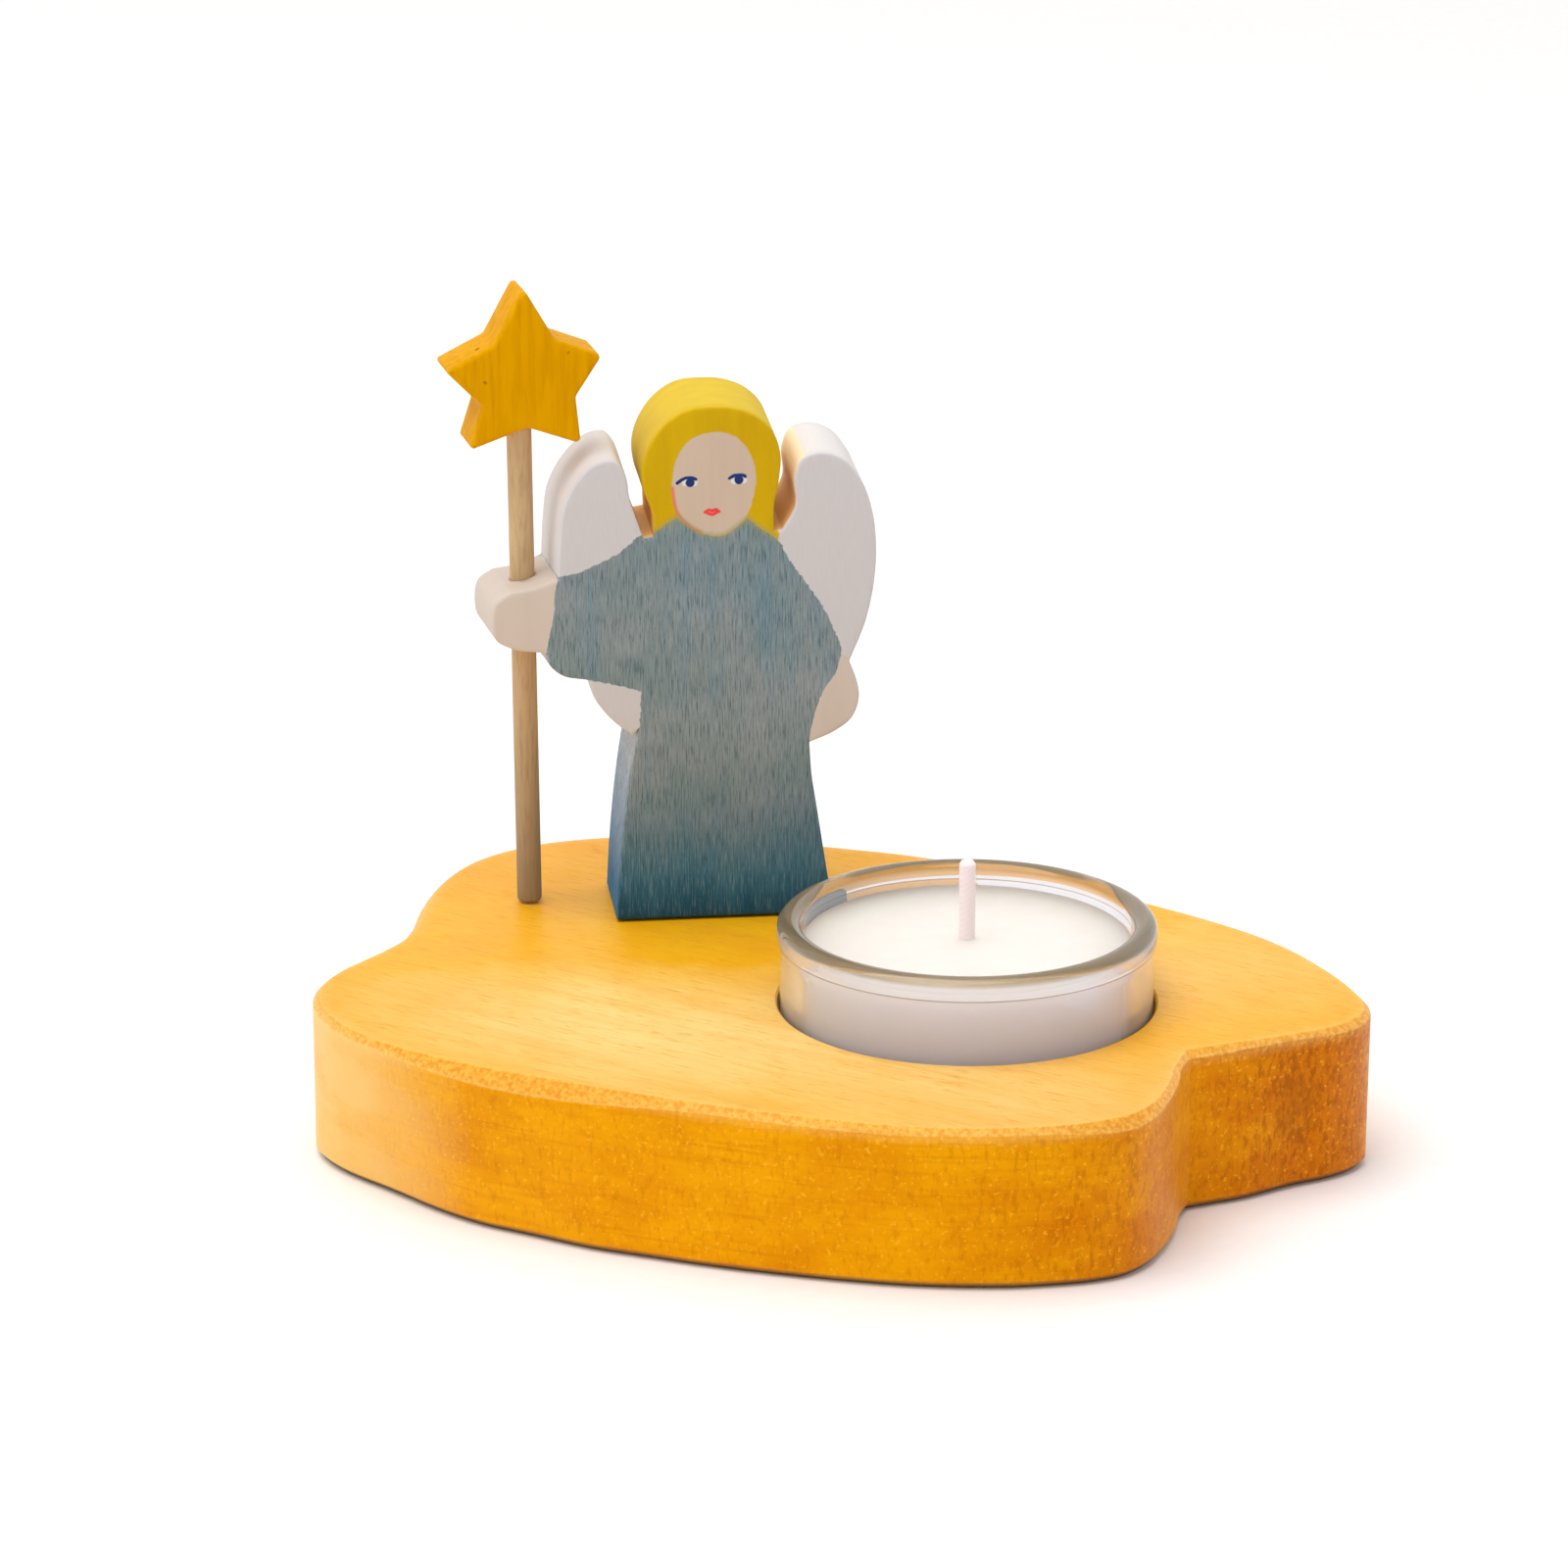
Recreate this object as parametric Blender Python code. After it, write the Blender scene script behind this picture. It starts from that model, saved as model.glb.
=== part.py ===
"""Painted wooden angel with a star on a staff, on a lobed board with a tealight in a glass cup.

Units are metres, +Z is up, and the origin is under the middle of the board.
The figure's flat front looks along -Y.
"""

import math

import bmesh
import bpy
import numpy as np
from mathutils import Matrix, Vector

MM = 0.001

# Clearances
REST_GAP = 0.3 * MM           # between two pieces that rest on or stand in each other
STAFF_CLEARANCE = 0.3 * MM    # round the staff in the hand and in the star
RECESS_CLEARANCE = 0.3 * MM   # round the glass in the board

# Glass cup
GLASS_RADIUS = 21.9 * MM      # the plain wall, where it enters the board
GLASS_BEAD = 0.35 * MM        # how far the moulded bead under the rim stands out
GLASS_HEIGHT = 21.4 * MM
GLASS_WALL = 2.6 * MM
GLASS_FLOOR = 2.8 * MM
GLASS_FOOT_ROUND = 1.6 * MM
RIM_ROUND = 1.3 * MM
BEAD_BELOW_RIM = 1.9 * MM
BEAD_RISE = 1.6 * MM          # the height over which the wall swells into the bead

# Candle
CANDLE_CLEARANCE = 0.3 * MM
WAX_BELOW_RIM = 2.6 * MM
WAX_EDGE_ROUND = 1.8 * MM
WICK_RADIUS = 0.95 * MM
WICK_ABOVE_WAX = 9.6 * MM
SUSTAINER_RADIUS = 6.0 * MM
SUSTAINER_SHEET = 0.4 * MM
COLLAR_HEIGHT = 3.0 * MM

# Board
BOARD_THICKNESS = 19.6 * MM
RECESS_DEPTH = 11.5 * MM
BOARD_TOP_CHAMFER = 1.2 * MM
BOARD_FOOT_CHAMFER = 1.0 * MM
FRONT_MARGIN = 20.8 * MM      # from the recess to the front edge
FIGURE_GAP = 9.3 * MM         # from the recess to the figure's front
BACK_MARGIN = 18.8 * MM       # from the figure's back to the back edge
LEFT_REACH = 48.1 * MM        # from the figure's axis to the left tip
FIGURE_TO_GLASS = 28.0 * MM   # from the figure's axis to the glass, sideways
RIGHT_REACH = 46.8 * MM       # from the glass to the right tip

# Figure
FIGURE_HEIGHT = 63.75 * MM
FIGURE_WIDTH = 46.0 * MM
FIGURE_THICKNESS = 14.4 * MM
FIGURE_EDGE = 0.5 * MM
SAW_DRIFT = (-1.2 * MM, -1.0 * MM)    # how the cut round the left hand has strayed at the figure's back

# Staff and star
STAFF_RADIUS = 1.5 * MM
STAFF_END_ROUND = 0.4 * MM
STAFF_LEAN_LEFT = math.radians(0.8)
STAFF_LEAN_FORWARD = math.radians(3.0)
STAR_WIDTH = 18.5 * MM
STAR_HEIGHT = 18.6 * MM
STAR_THICKNESS = 7.0 * MM
STAR_EDGE = 0.5 * MM
STAR_TURN = math.radians(7.5)
STAR_OVER_WING = 1.2 * MM    # height of the star's lower tips over the left wing's top
STAR_HOLE_DEPTH = 4.5 * MM

# How finely curves are cut
BOARD_STEP = 3.0 * MM
FIGURE_STEP = 1.3 * MM
ROUND_SIDES = 64
SMALL_SIDES = 24
EDGE_STEPS = 3
MITRE_LIMIT = 0.6             # keeps an inset corner from running off to a spike

# The board's outline in millimetres from the recess's centre, clockwise as seen from above.
# The crease in front is its one sharp inner corner, so two smooth runs go from there to the right tip.
BOARD_LEFT_AND_BACK = (
    (23.2, -20.6), (21.8, -23.4), (20.3, -28.7), (18.5, -33.6), (16.2, -38.0), (13.4, -40.8), (9.6, -42.3),
    (3.6, -43.0), (-4.2, -42.8), (-11.8, -41.5), (-19.4, -38.9), (-25.5, -36.2), (-32.9, -32.5),
    (-40.4, -28.5), (-46.4, -25.3), (-52.0, -22.0), (-58.3, -17.9), (-63.3, -13.9), (-67.3, -9.9),
    (-70.9, -5.6), (-73.7, -1.1), (-75.5, 4.0), (-76.1, 9.5), (-75.4, 13.6), (-73.0, 18.3), (-70.0, 22.0),
    (-67.2, 25.3), (-64.9, 28.6), (-63.1, 33.2), (-61.8, 39.1), (-60.4, 44.5), (-57.8, 51.4), (-53.4, 57.8),
    (-45.6, 62.9), (-36.5, 64.7), (-23.0, 63.2), (-9.0, 57.8), (2.1, 52.5), (14.9, 42.8), (28.4, 30.6),
    (33.5, 25.0), (39.4, 17.0), (42.0, 12.0), (44.0, 6.7), (45.4, 2.2), (46.3, -2.0), (46.8, -5.6),
)
BOARD_RIGHT_LOBE = (
    (46.8, -5.6), (46.4, -9.0), (44.7, -12.0), (41.6, -14.6), (36.8, -16.3), (32.2, -17.8), (27.9, -19.1),
    (23.2, -20.6),
)
# Where the sawn wall leans in towards its foot: place, reach and depth, in millimetres.
UNDERCUTS = (
    (-70.0, -6.0, 18.0, 2.7), (-57.0, -18.5, 14.0, 1.0), (-10.0, -41.0, 30.0, 1.1), (13.5, -39.5, 16.0, 0.7),
    (40.0, -15.0, 12.0, 1.6),
)

# The figure's outline in millimetres from its axis and its foot, seen from the front, counterclockwise
# from the hem's left end. Each run is one smooth saw cut, and runs meet in sharp corners.
FIGURE_RUNS = {
    "hem": ((-10.2, 0.0), (16.2, 0.0)),
    "body_right": ((16.2, 0.0), (15.2, 6.3), (14.1, 13.6), (13.4, 18.5), (13.2, 21.9)),
    "hand_right": ((13.2, 21.9), (16.2, 23.2), (18.2, 24.7), (19.2, 27.6), (18.8, 29.9), (18.0, 32.0)),
    "wing_right": (
        (18.0, 32.0), (20.0, 37.2), (20.9, 41.5), (21.2, 46.0), (20.8, 50.4), (19.3, 54.8), (17.0, 57.5),
        (14.3, 58.3), (12.2, 57.5), (11.4, 55.6), (11.4, 51.6), (9.9, 48.9),
    ),
    "kerf_right": ((9.9, 48.9), (8.9, 48.7)),
    "hair": (
        (8.9, 48.7), (8.9, 51.6), (9.5, 55.0), (9.7, 58.2), (8.8, 61.0), (6.8, 63.0), (4.0, 64.1), (1.4, 64.3),
        (-1.4, 64.0), (-4.0, 62.4), (-5.9, 59.8), (-6.8, 57.0), (-6.6, 54.0), (-5.7, 51.5), (-5.5, 48.5),
    ),
    "kerf_left": ((-5.5, 48.5), (-6.7, 48.3)),
    "wing_left": (
        (-6.7, 48.3), (-7.6, 50.9), (-8.3, 53.2), (-8.9, 56.4), (-10.2, 58.0), (-12.4, 57.7), (-14.6, 55.6),
        (-16.1, 52.6), (-16.7, 48.0), (-16.9, 43.5),
    ),
    "hand_top": ((-16.9, 43.5), (-20.1, 42.4), (-22.6, 42.0)),
    "hand_left": ((-22.6, 42.0), (-24.3, 40.8), (-24.8, 38.4), (-24.3, 36.0), (-22.6, 35.0), (-18.5, 34.3)),
    "sleeve": ((-18.5, 34.3), (-17.9, 32.6), (-16.7, 31.5), (-13.4, 30.7)),
    "wing_low": ((-13.4, 30.7), (-12.9, 28.8), (-11.6, 26.7), (-9.9, 24.9), (-8.1, 23.5)),
    "wing_tip": ((-8.1, 23.5), (-7.4, 24.4)),
    "body_left": ((-7.4, 24.4), (-8.2, 20.4), (-9.0, 15.0), (-9.6, 9.4), (-10.0, 4.0), (-10.2, 0.0)),
}
HAND_CENTRE = (-20.6, 38.6)
DRIFT_STARTS = -12.0          # the cut drifts from here, fully from a blend further left
DRIFT_BLEND = 6.0
LEFT_WING_TOP = (-10.2, 58.0)

# The star's corners in millimetres from the staff's axis and the lower tips, with each corner's radius.
STAR_CORNERS = (
    (6.7, 0.0, 0.5), (6.1, 5.6, 1.0), (9.3, 10.3, 0.6), (3.7, 12.5, 1.3), (0.1, 18.6, 0.5),
    (-3.5, 12.2, 1.0), (-9.2, 9.5, 0.4), (-4.9, 5.1, 0.9), (-6.6, 0.0, 0.4), (0.4, 2.3, 1.6),
)


def srgb(hex_colour):
    """Linear red, green, blue and full opacity of an sRGB colour written as six hex digits."""
    channels = [int(hex_colour[i:i + 2], 16) / 255 for i in (0, 2, 4)]
    return [c / 12.92 if c <= 0.04045 else ((c + 0.055) / 1.055) ** 2.4 for c in channels] + [1.0]


def finish(piece, name, hex_colour, roughness, metallic=0.0, transmission=0.0):
    """Give a piece its material."""
    material = bpy.data.materials.new(name)
    material.use_nodes = True
    shader = material.node_tree.nodes["Principled BSDF"]
    shader.inputs["Base Color"].default_value = srgb(hex_colour)
    shader.inputs["Roughness"].default_value = roughness
    shader.inputs["Metallic"].default_value = metallic
    shader.inputs["Transmission Weight"].default_value = transmission
    piece.data.materials.append(material)


def add_object(name, vertices, faces):
    """Add a mesh object, its faces pointing out."""
    mesh = bpy.data.meshes.new(name)
    mesh.from_pydata([tuple(v) for v in vertices], [], [tuple(f) for f in faces])
    solid = bmesh.new()
    solid.from_mesh(mesh)
    bmesh.ops.recalc_face_normals(solid, faces=solid.faces)
    solid.to_mesh(mesh)
    solid.free()
    mesh.shade_smooth()
    mesh.set_sharp_from_angle(angle=math.radians(35))
    piece = bpy.data.objects.new(name, mesh)
    bpy.context.scene.collection.objects.link(piece)
    return piece


def smooth_run(knots, step):
    """Points of a smooth curve through the knots, without the last one.

    Between two knots it is a cubic. Its slope at a knot is the mean of the slopes of the two chords there,
    each weighted by the other's length.
    """
    knots = np.array(knots, float)
    ends = np.vstack([2 * knots[0] - knots[1], knots, 2 * knots[-1] - knots[-2]])
    chords = np.diff(ends, axis=0)
    lengths = np.linalg.norm(chords, axis=1)
    slopes = chords / lengths[:, None]
    at_knots = slopes[:-1] * lengths[1:, None] + slopes[1:] * lengths[:-1, None]
    at_knots /= (lengths[:-1] + lengths[1:])[:, None]
    points = []
    for i in range(len(knots) - 1):
        length = lengths[i + 1]
        count = max(1, round(length / step))
        t = (np.arange(count) / count)[:, None]
        points.append(
            (2 * t**3 - 3 * t**2 + 1) * knots[i] + (t**3 - 2 * t**2 + t) * length * at_knots[i]
            + (3 * t**2 - 2 * t**3) * knots[i + 1] + (t**3 - t**2) * length * at_knots[i + 1]
        )
    return np.vstack(points)


def rounded_corners(corners, steps=EDGE_STEPS):
    """Points of a closed outline whose corners (x, y, radius) are arcs that touch both sides."""
    points = np.array([c[:2] for c in corners], float)
    outline = []
    for i, (_, _, radius) in enumerate(corners):
        corner = points[i]
        before = points[i - 1] - corner
        after = points[(i + 1) % len(points)] - corner
        before /= np.linalg.norm(before)
        after /= np.linalg.norm(after)
        middle = (before + after) / np.linalg.norm(before + after)
        half = math.acos(np.clip(before @ after, -1, 1)) / 2
        centre = corner + middle * radius / math.sin(half)
        first = corner + before * radius / math.tan(half) - centre
        last = corner + after * radius / math.tan(half) - centre
        for t in np.linspace(0, 1, steps + 1):
            spoke = first * (1 - t) + last * t
            outline.append(centre + spoke / np.linalg.norm(spoke) * radius)
    return np.array(outline)


def inset(outline, distance):
    """A closed outline moved inwards by a distance, one value or one for each point."""
    ahead = np.roll(outline, -1, axis=0) - outline
    ahead /= np.linalg.norm(ahead, axis=1)[:, None]
    area = np.sum(outline[:, 0] * np.roll(outline[:, 1], -1) - np.roll(outline[:, 0], -1) * outline[:, 1])
    inward = np.stack([-ahead[:, 1], ahead[:, 0]], 1) * np.sign(area)
    behind = np.roll(inward, 1, axis=0)
    share = 1 + np.sum(inward * behind, axis=1)
    return outline + (inward + behind) / np.maximum(share, MITRE_LIMIT)[:, None] * np.reshape(distance, (-1, 1))


def stack(name, rings):
    """A closed solid skinned over rings of as many points each, with a flat face on both ends."""
    rings = np.array(rings)
    count = rings.shape[1]
    faces = [list(range(count)), [i + (len(rings) - 1) * count for i in range(count)]]
    for level in range(len(rings) - 1):
        for i in range(count):
            j = (i + 1) % count
            faces.append([level * count + k for k in (i, j)] + [(level + 1) * count + k for k in (j, i)])
    return add_object(name, rings.reshape(-1, 3), faces)


def chamfered_levels(height, low, high):
    """Pairs (inset, level) up a wall with a chamfer on its lower and its upper edge."""
    return (low, 0), (0, low), (0, height - high), (high, height)


def sawn(name, outline, thickness, edge, drift=0):
    """A sheet in the XZ plane from y = 0 back to its thickness, with softened edges.

    The cut may stray on its way back, by a drift (x, z) for each point.
    """
    rings = []
    for distance, level in chamfered_levels(thickness, edge, edge):
        flat = inset(outline, distance) + drift * level / thickness
        rings.append(np.stack([flat[:, 0], np.full(len(flat), level), flat[:, 1]], 1))
    return stack(name, rings)


def turned(name, profile, sides):
    """A solid of revolution about Z. A profile that starts and ends on the axis is closed by two fans."""
    on_axis = profile[0][0] < 1e-9
    rings = profile[1:-1] if on_axis else profile
    angles = 2 * math.pi * np.arange(sides) / sides
    radius, level = np.array(rings).T
    points = np.stack([
        np.outer(radius, np.cos(angles)), np.outer(radius, np.sin(angles)), np.outer(level, np.ones(sides)),
    ], 2).reshape(-1, 3)
    faces = []
    for ring in range(len(rings) - (1 if on_axis else 0)):
        above = (ring + 1) % len(rings)
        for i in range(sides):
            j = (i + 1) % sides
            faces.append((ring * sides + i, ring * sides + j, above * sides + j, above * sides + i))
    if on_axis:
        poles = len(points)
        points = np.vstack([points, [0, 0, profile[0][1]], [0, 0, profile[-1][1]]])
        last = (len(rings) - 1) * sides
        faces += [(poles, (i + 1) % sides, i) for i in range(sides)]
        faces += [(poles + 1, last + i, last + (i + 1) % sides) for i in range(sides)]
    return add_object(name, points, faces)


def cut(piece, cutter):
    """Take a cutter's shape out of a piece."""
    cutter.hide_render = True
    cutter.display_type = "WIRE"
    boolean = piece.modifiers.new(cutter.name, "BOOLEAN")
    boolean.operation = "DIFFERENCE"
    boolean.solver = "EXACT"
    boolean.object = cutter


def quarter(centre_r, centre_z, radius, start, end, steps=4):
    """Points of an arc in the (radius, height) plane, angles in degrees."""
    angles = np.radians(np.linspace(start, end, steps + 1))
    return [(centre_r + radius * math.cos(a), centre_z + radius * math.sin(a)) for a in angles]


# Places that several pieces share
RECESS_RADIUS = GLASS_RADIUS + RECESS_CLEARANCE
BOARD_LENGTH = LEFT_REACH + FIGURE_TO_GLASS + RIGHT_REACH
BOARD_DEPTH = FRONT_MARGIN + 2 * RECESS_RADIUS + FIGURE_GAP + FIGURE_THICKNESS + BACK_MARGIN
GLASS_PLACE = Vector((
    BOARD_LENGTH / 2 - RIGHT_REACH,
    FRONT_MARGIN + RECESS_RADIUS - BOARD_DEPTH / 2,
    BOARD_THICKNESS - RECESS_DEPTH + REST_GAP,
))
FIGURE_PLACE = Vector((
    GLASS_PLACE.x - FIGURE_TO_GLASS,
    GLASS_PLACE.y + RECESS_RADIUS + FIGURE_GAP,
    BOARD_THICKNESS + REST_GAP,
))
GLASS_INSIDE = GLASS_RADIUS - GLASS_WALL
WAX_RADIUS = GLASS_INSIDE - CANDLE_CLEARANCE
WAX_BOTTOM = GLASS_FLOOR + REST_GAP
WAX_TOP = GLASS_HEIGHT - WAX_BELOW_RIM
SUSTAINER_TOP = WAX_BOTTOM + SUSTAINER_SHEET
COLLAR_TOP = SUSTAINER_TOP + COLLAR_HEIGHT
WICK_HOLE = WICK_RADIUS + CANDLE_CLEARANCE
COLLAR_RADIUS = WICK_HOLE + SUSTAINER_SHEET
STAFF_AXIS = Vector((-math.tan(STAFF_LEAN_LEFT), -math.tan(STAFF_LEAN_FORWARD), 1)).normalized()


def figure_curve():
    """The figure's closed outline at its drawn size, in millimetres."""
    return np.vstack([smooth_run(run, FIGURE_STEP / MM) for run in FIGURE_RUNS.values()])


def fit(points, drawn, width, height):
    """Scale drawn points so that the drawn outline gets this width and height. Zero stays where it is."""
    scale = np.array([width, height]) / (drawn.max(axis=0) - drawn.min(axis=0))
    return np.array(points, float) * scale


def figure_point(drawn_point):
    """A point drawn on the figure's front, in the part's frame."""
    x, z = fit(drawn_point, figure_curve(), FIGURE_WIDTH, FIGURE_HEIGHT)
    return FIGURE_PLACE + Vector((x, 0, z))


def staff_point(level):
    """The staff's axis at a height. It goes through the middle of the hand."""
    hand = figure_point(HAND_CENTRE) + Vector((0, FIGURE_THICKNESS / 2, 0))
    return hand + STAFF_AXIS * ((level - hand.z) / STAFF_AXIS.z)


STAFF_FOOT = staff_point(BOARD_THICKNESS + REST_GAP)
STAR_PLACE = staff_point(figure_point(LEFT_WING_TOP).z + STAR_OVER_WING)
STAR_DRAWN = rounded_corners(STAR_CORNERS)
STAR_OUTLINE = fit(STAR_DRAWN, STAR_DRAWN, STAR_WIDTH, STAR_HEIGHT)
STAR_NOTCH = fit(STAR_CORNERS[-1][:2], STAR_DRAWN, STAR_WIDTH, STAR_HEIGHT)[1]
STAFF_LENGTH = (STAR_PLACE.z + STAR_NOTCH + STAR_HOLE_DEPTH - REST_GAP - STAFF_FOOT.z) / STAFF_AXIS.z


def rod(name, foot, length, radius, end_round):
    """A round rod along the staff's axis, with rounded ends."""
    profile = [(0, 0)]
    profile += quarter(radius - end_round, end_round, end_round, -90, 0, steps=2)
    profile += quarter(radius - end_round, length - end_round, end_round, 0, 90, steps=2)
    profile += [(0, length)]
    piece = turned(name, profile, SMALL_SIDES)
    piece.location = foot
    piece.rotation_euler = Vector((0, 0, 1)).rotation_difference(STAFF_AXIS).to_euler()
    return piece


def add_board():
    """The lobed board, with the recess for the glass."""
    runs = [smooth_run(run, BOARD_STEP / MM) for run in (BOARD_LEFT_AND_BACK, BOARD_RIGHT_LOBE)]
    drawn = np.vstack(runs)
    low, high = drawn.min(axis=0), drawn.max(axis=0)
    outline = ((drawn - low) / (high - low) - 0.5) * [BOARD_LENGTH, BOARD_DEPTH]
    lean = np.zeros(len(drawn))
    for x, y, reach, depth in UNDERCUTS:
        away = np.linalg.norm(drawn - (x, y), axis=1) / reach
        lean += depth * MM * np.clip(1 - away**2, 0, 1) ** 2
    rings = []
    for distance, level in chamfered_levels(BOARD_THICKNESS, BOARD_FOOT_CHAMFER, BOARD_TOP_CHAMFER):
        flat = inset(outline, distance + lean * (1 - level / BOARD_THICKNESS))
        rings.append(np.column_stack([flat, np.full(len(flat), level)]))
    board = stack("base_board", rings)
    above = RECESS_DEPTH
    recess = turned(
        "recess_cutter",
        [(0, -RECESS_DEPTH), (RECESS_RADIUS, -RECESS_DEPTH), (RECESS_RADIUS, above), (0, above)],
        ROUND_SIDES,
    )
    recess.location = (GLASS_PLACE.x, GLASS_PLACE.y, BOARD_THICKNESS)
    cut(board, recess)
    finish(board, "amber_stained_wood", "E9A548", 0.5)


def add_figure():
    """The sawn angel, with the hole through its hand."""
    drawn = figure_curve()
    outline = fit(drawn, drawn, FIGURE_WIDTH, FIGURE_HEIGHT)
    drift = np.outer(np.clip((DRIFT_STARTS - drawn[:, 0]) / DRIFT_BLEND, 0, 1), SAW_DRIFT)
    figure = sawn("angel_figure", outline, FIGURE_THICKNESS, FIGURE_EDGE, drift)
    figure.location = FIGURE_PLACE
    hole = rod("hand_hole_cutter", STAFF_FOOT, FIGURE_HEIGHT, STAFF_RADIUS + STAFF_CLEARANCE, STAFF_END_ROUND)
    cut(figure, hole)
    finish(figure, "painted_wood", "8FA0A6", 0.6)


def add_staff():
    """The dowel that the angel holds."""
    staff = rod("staff", STAFF_FOOT, STAFF_LENGTH, STAFF_RADIUS, STAFF_END_ROUND)
    finish(staff, "natural_dowel", "DDBB8C", 0.6)


def add_star():
    """The sawn star, with a blind hole for the staff."""
    star = sawn("star", STAR_OUTLINE, STAR_THICKNESS, STAR_EDGE)
    middle = Matrix.Translation((0, -STAR_THICKNESS / 2, 0))
    star.matrix_world = Matrix.Translation(STAR_PLACE) @ Matrix.Rotation(STAR_TURN, 4, "Z") @ middle
    length = STAR_NOTCH + STAR_HOLE_DEPTH + STAR_HEIGHT
    foot = STAR_PLACE - STAFF_AXIS * STAR_HEIGHT
    hole = rod("star_hole_cutter", foot, length, STAFF_RADIUS + STAFF_CLEARANCE, STAFF_END_ROUND)
    cut(star, hole)
    finish(star, "yellow_painted_wood", "E7A614", 0.55)


def add_glass():
    """The pressed cup: plain wall, a bead under a rounded rim, a round foot."""
    outer = GLASS_RADIUS
    bead = GLASS_HEIGHT - BEAD_BELOW_RIM
    rim_middle = outer - GLASS_WALL / 2 + GLASS_BEAD / 2
    half_wall = GLASS_WALL / 2 + GLASS_BEAD / 2
    rim_profile = [
        (rim_middle + half_wall * math.cos(a), GLASS_HEIGHT - RIM_ROUND + RIM_ROUND * math.sin(a))
        for a in np.linspace(math.pi * 0.08, math.pi, 9)
    ]
    profile = [(0, 0)]
    profile += quarter(outer - GLASS_FOOT_ROUND, GLASS_FOOT_ROUND, GLASS_FOOT_ROUND, -90, 0)
    profile += [(outer, bead - BEAD_RISE), (outer + GLASS_BEAD, bead)]
    profile += rim_profile
    profile += quarter(GLASS_INSIDE - GLASS_FOOT_ROUND, GLASS_FLOOR + GLASS_FOOT_ROUND, GLASS_FOOT_ROUND, 0, -90)
    profile += [(0, GLASS_FLOOR)]
    glass = turned("tealight_glass", profile, ROUND_SIDES)
    glass.location = GLASS_PLACE
    finish(glass, "pressed_glass", "F2F4F0", 0.05, transmission=1.0)


def add_candle():
    """The wax with its bores for the wick and the tin foot, the wick, and the tin foot."""
    edge = WAX_EDGE_ROUND
    wax = turned("candle_wax", [
        (SUSTAINER_RADIUS + CANDLE_CLEARANCE, WAX_BOTTOM),
        *quarter(WAX_RADIUS - edge, WAX_BOTTOM + edge, edge, -90, 0),
        (WAX_RADIUS, WAX_TOP),
        (WICK_HOLE, WAX_TOP),
        (WICK_HOLE, COLLAR_TOP + CANDLE_CLEARANCE),
        (COLLAR_RADIUS + CANDLE_CLEARANCE, COLLAR_TOP + CANDLE_CLEARANCE),
        (COLLAR_RADIUS + CANDLE_CLEARANCE, SUSTAINER_TOP + CANDLE_CLEARANCE),
        (SUSTAINER_RADIUS + CANDLE_CLEARANCE, SUSTAINER_TOP + CANDLE_CLEARANCE),
    ], ROUND_SIDES)
    wax.location = GLASS_PLACE
    finish(wax, "white_wax", "FEF6EC", 0.5)

    sustainer = turned("wick_sustainer", [
        (0, WAX_BOTTOM), (SUSTAINER_RADIUS, WAX_BOTTOM), (SUSTAINER_RADIUS, SUSTAINER_TOP),
        (COLLAR_RADIUS, SUSTAINER_TOP), (COLLAR_RADIUS, COLLAR_TOP), (WICK_HOLE, COLLAR_TOP),
        (WICK_HOLE, SUSTAINER_TOP), (0, SUSTAINER_TOP),
    ], SMALL_SIDES)
    sustainer.location = GLASS_PLACE
    finish(sustainer, "tinned_sheet", "C6C6C8", 0.3, metallic=1.0)

    foot = SUSTAINER_TOP + REST_GAP
    top = WAX_TOP + WICK_ABOVE_WAX
    tip = WICK_RADIUS / 2
    wick = turned("wick", [
        (0, foot), (WICK_RADIUS, foot), (WICK_RADIUS, top - tip), (WICK_RADIUS - tip / 2, top), (0, top),
    ], SMALL_SIDES)
    wick.location = GLASS_PLACE
    finish(wick, "waxed_cotton", "EEE0DC", 0.8)


for old in list(bpy.data.objects):
    bpy.data.objects.remove(old)
add_board()
add_figure()
add_staff()
add_star()
add_glass()
add_candle()
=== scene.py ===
"""Painted wooden angel with a star on a staff, on a lobed board with a tealight: its looks.

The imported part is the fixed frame. Each operator builds one piece over it, or the stage.
Sizes are in metres, and drawn outlines are in millimetres.
"""

import math

import bmesh
import bpy
import numpy as np
from bpy.props import FloatProperty, FloatVectorProperty, PointerProperty
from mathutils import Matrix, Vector
from mathutils.geometry import delaunay_2d_cdt


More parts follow.
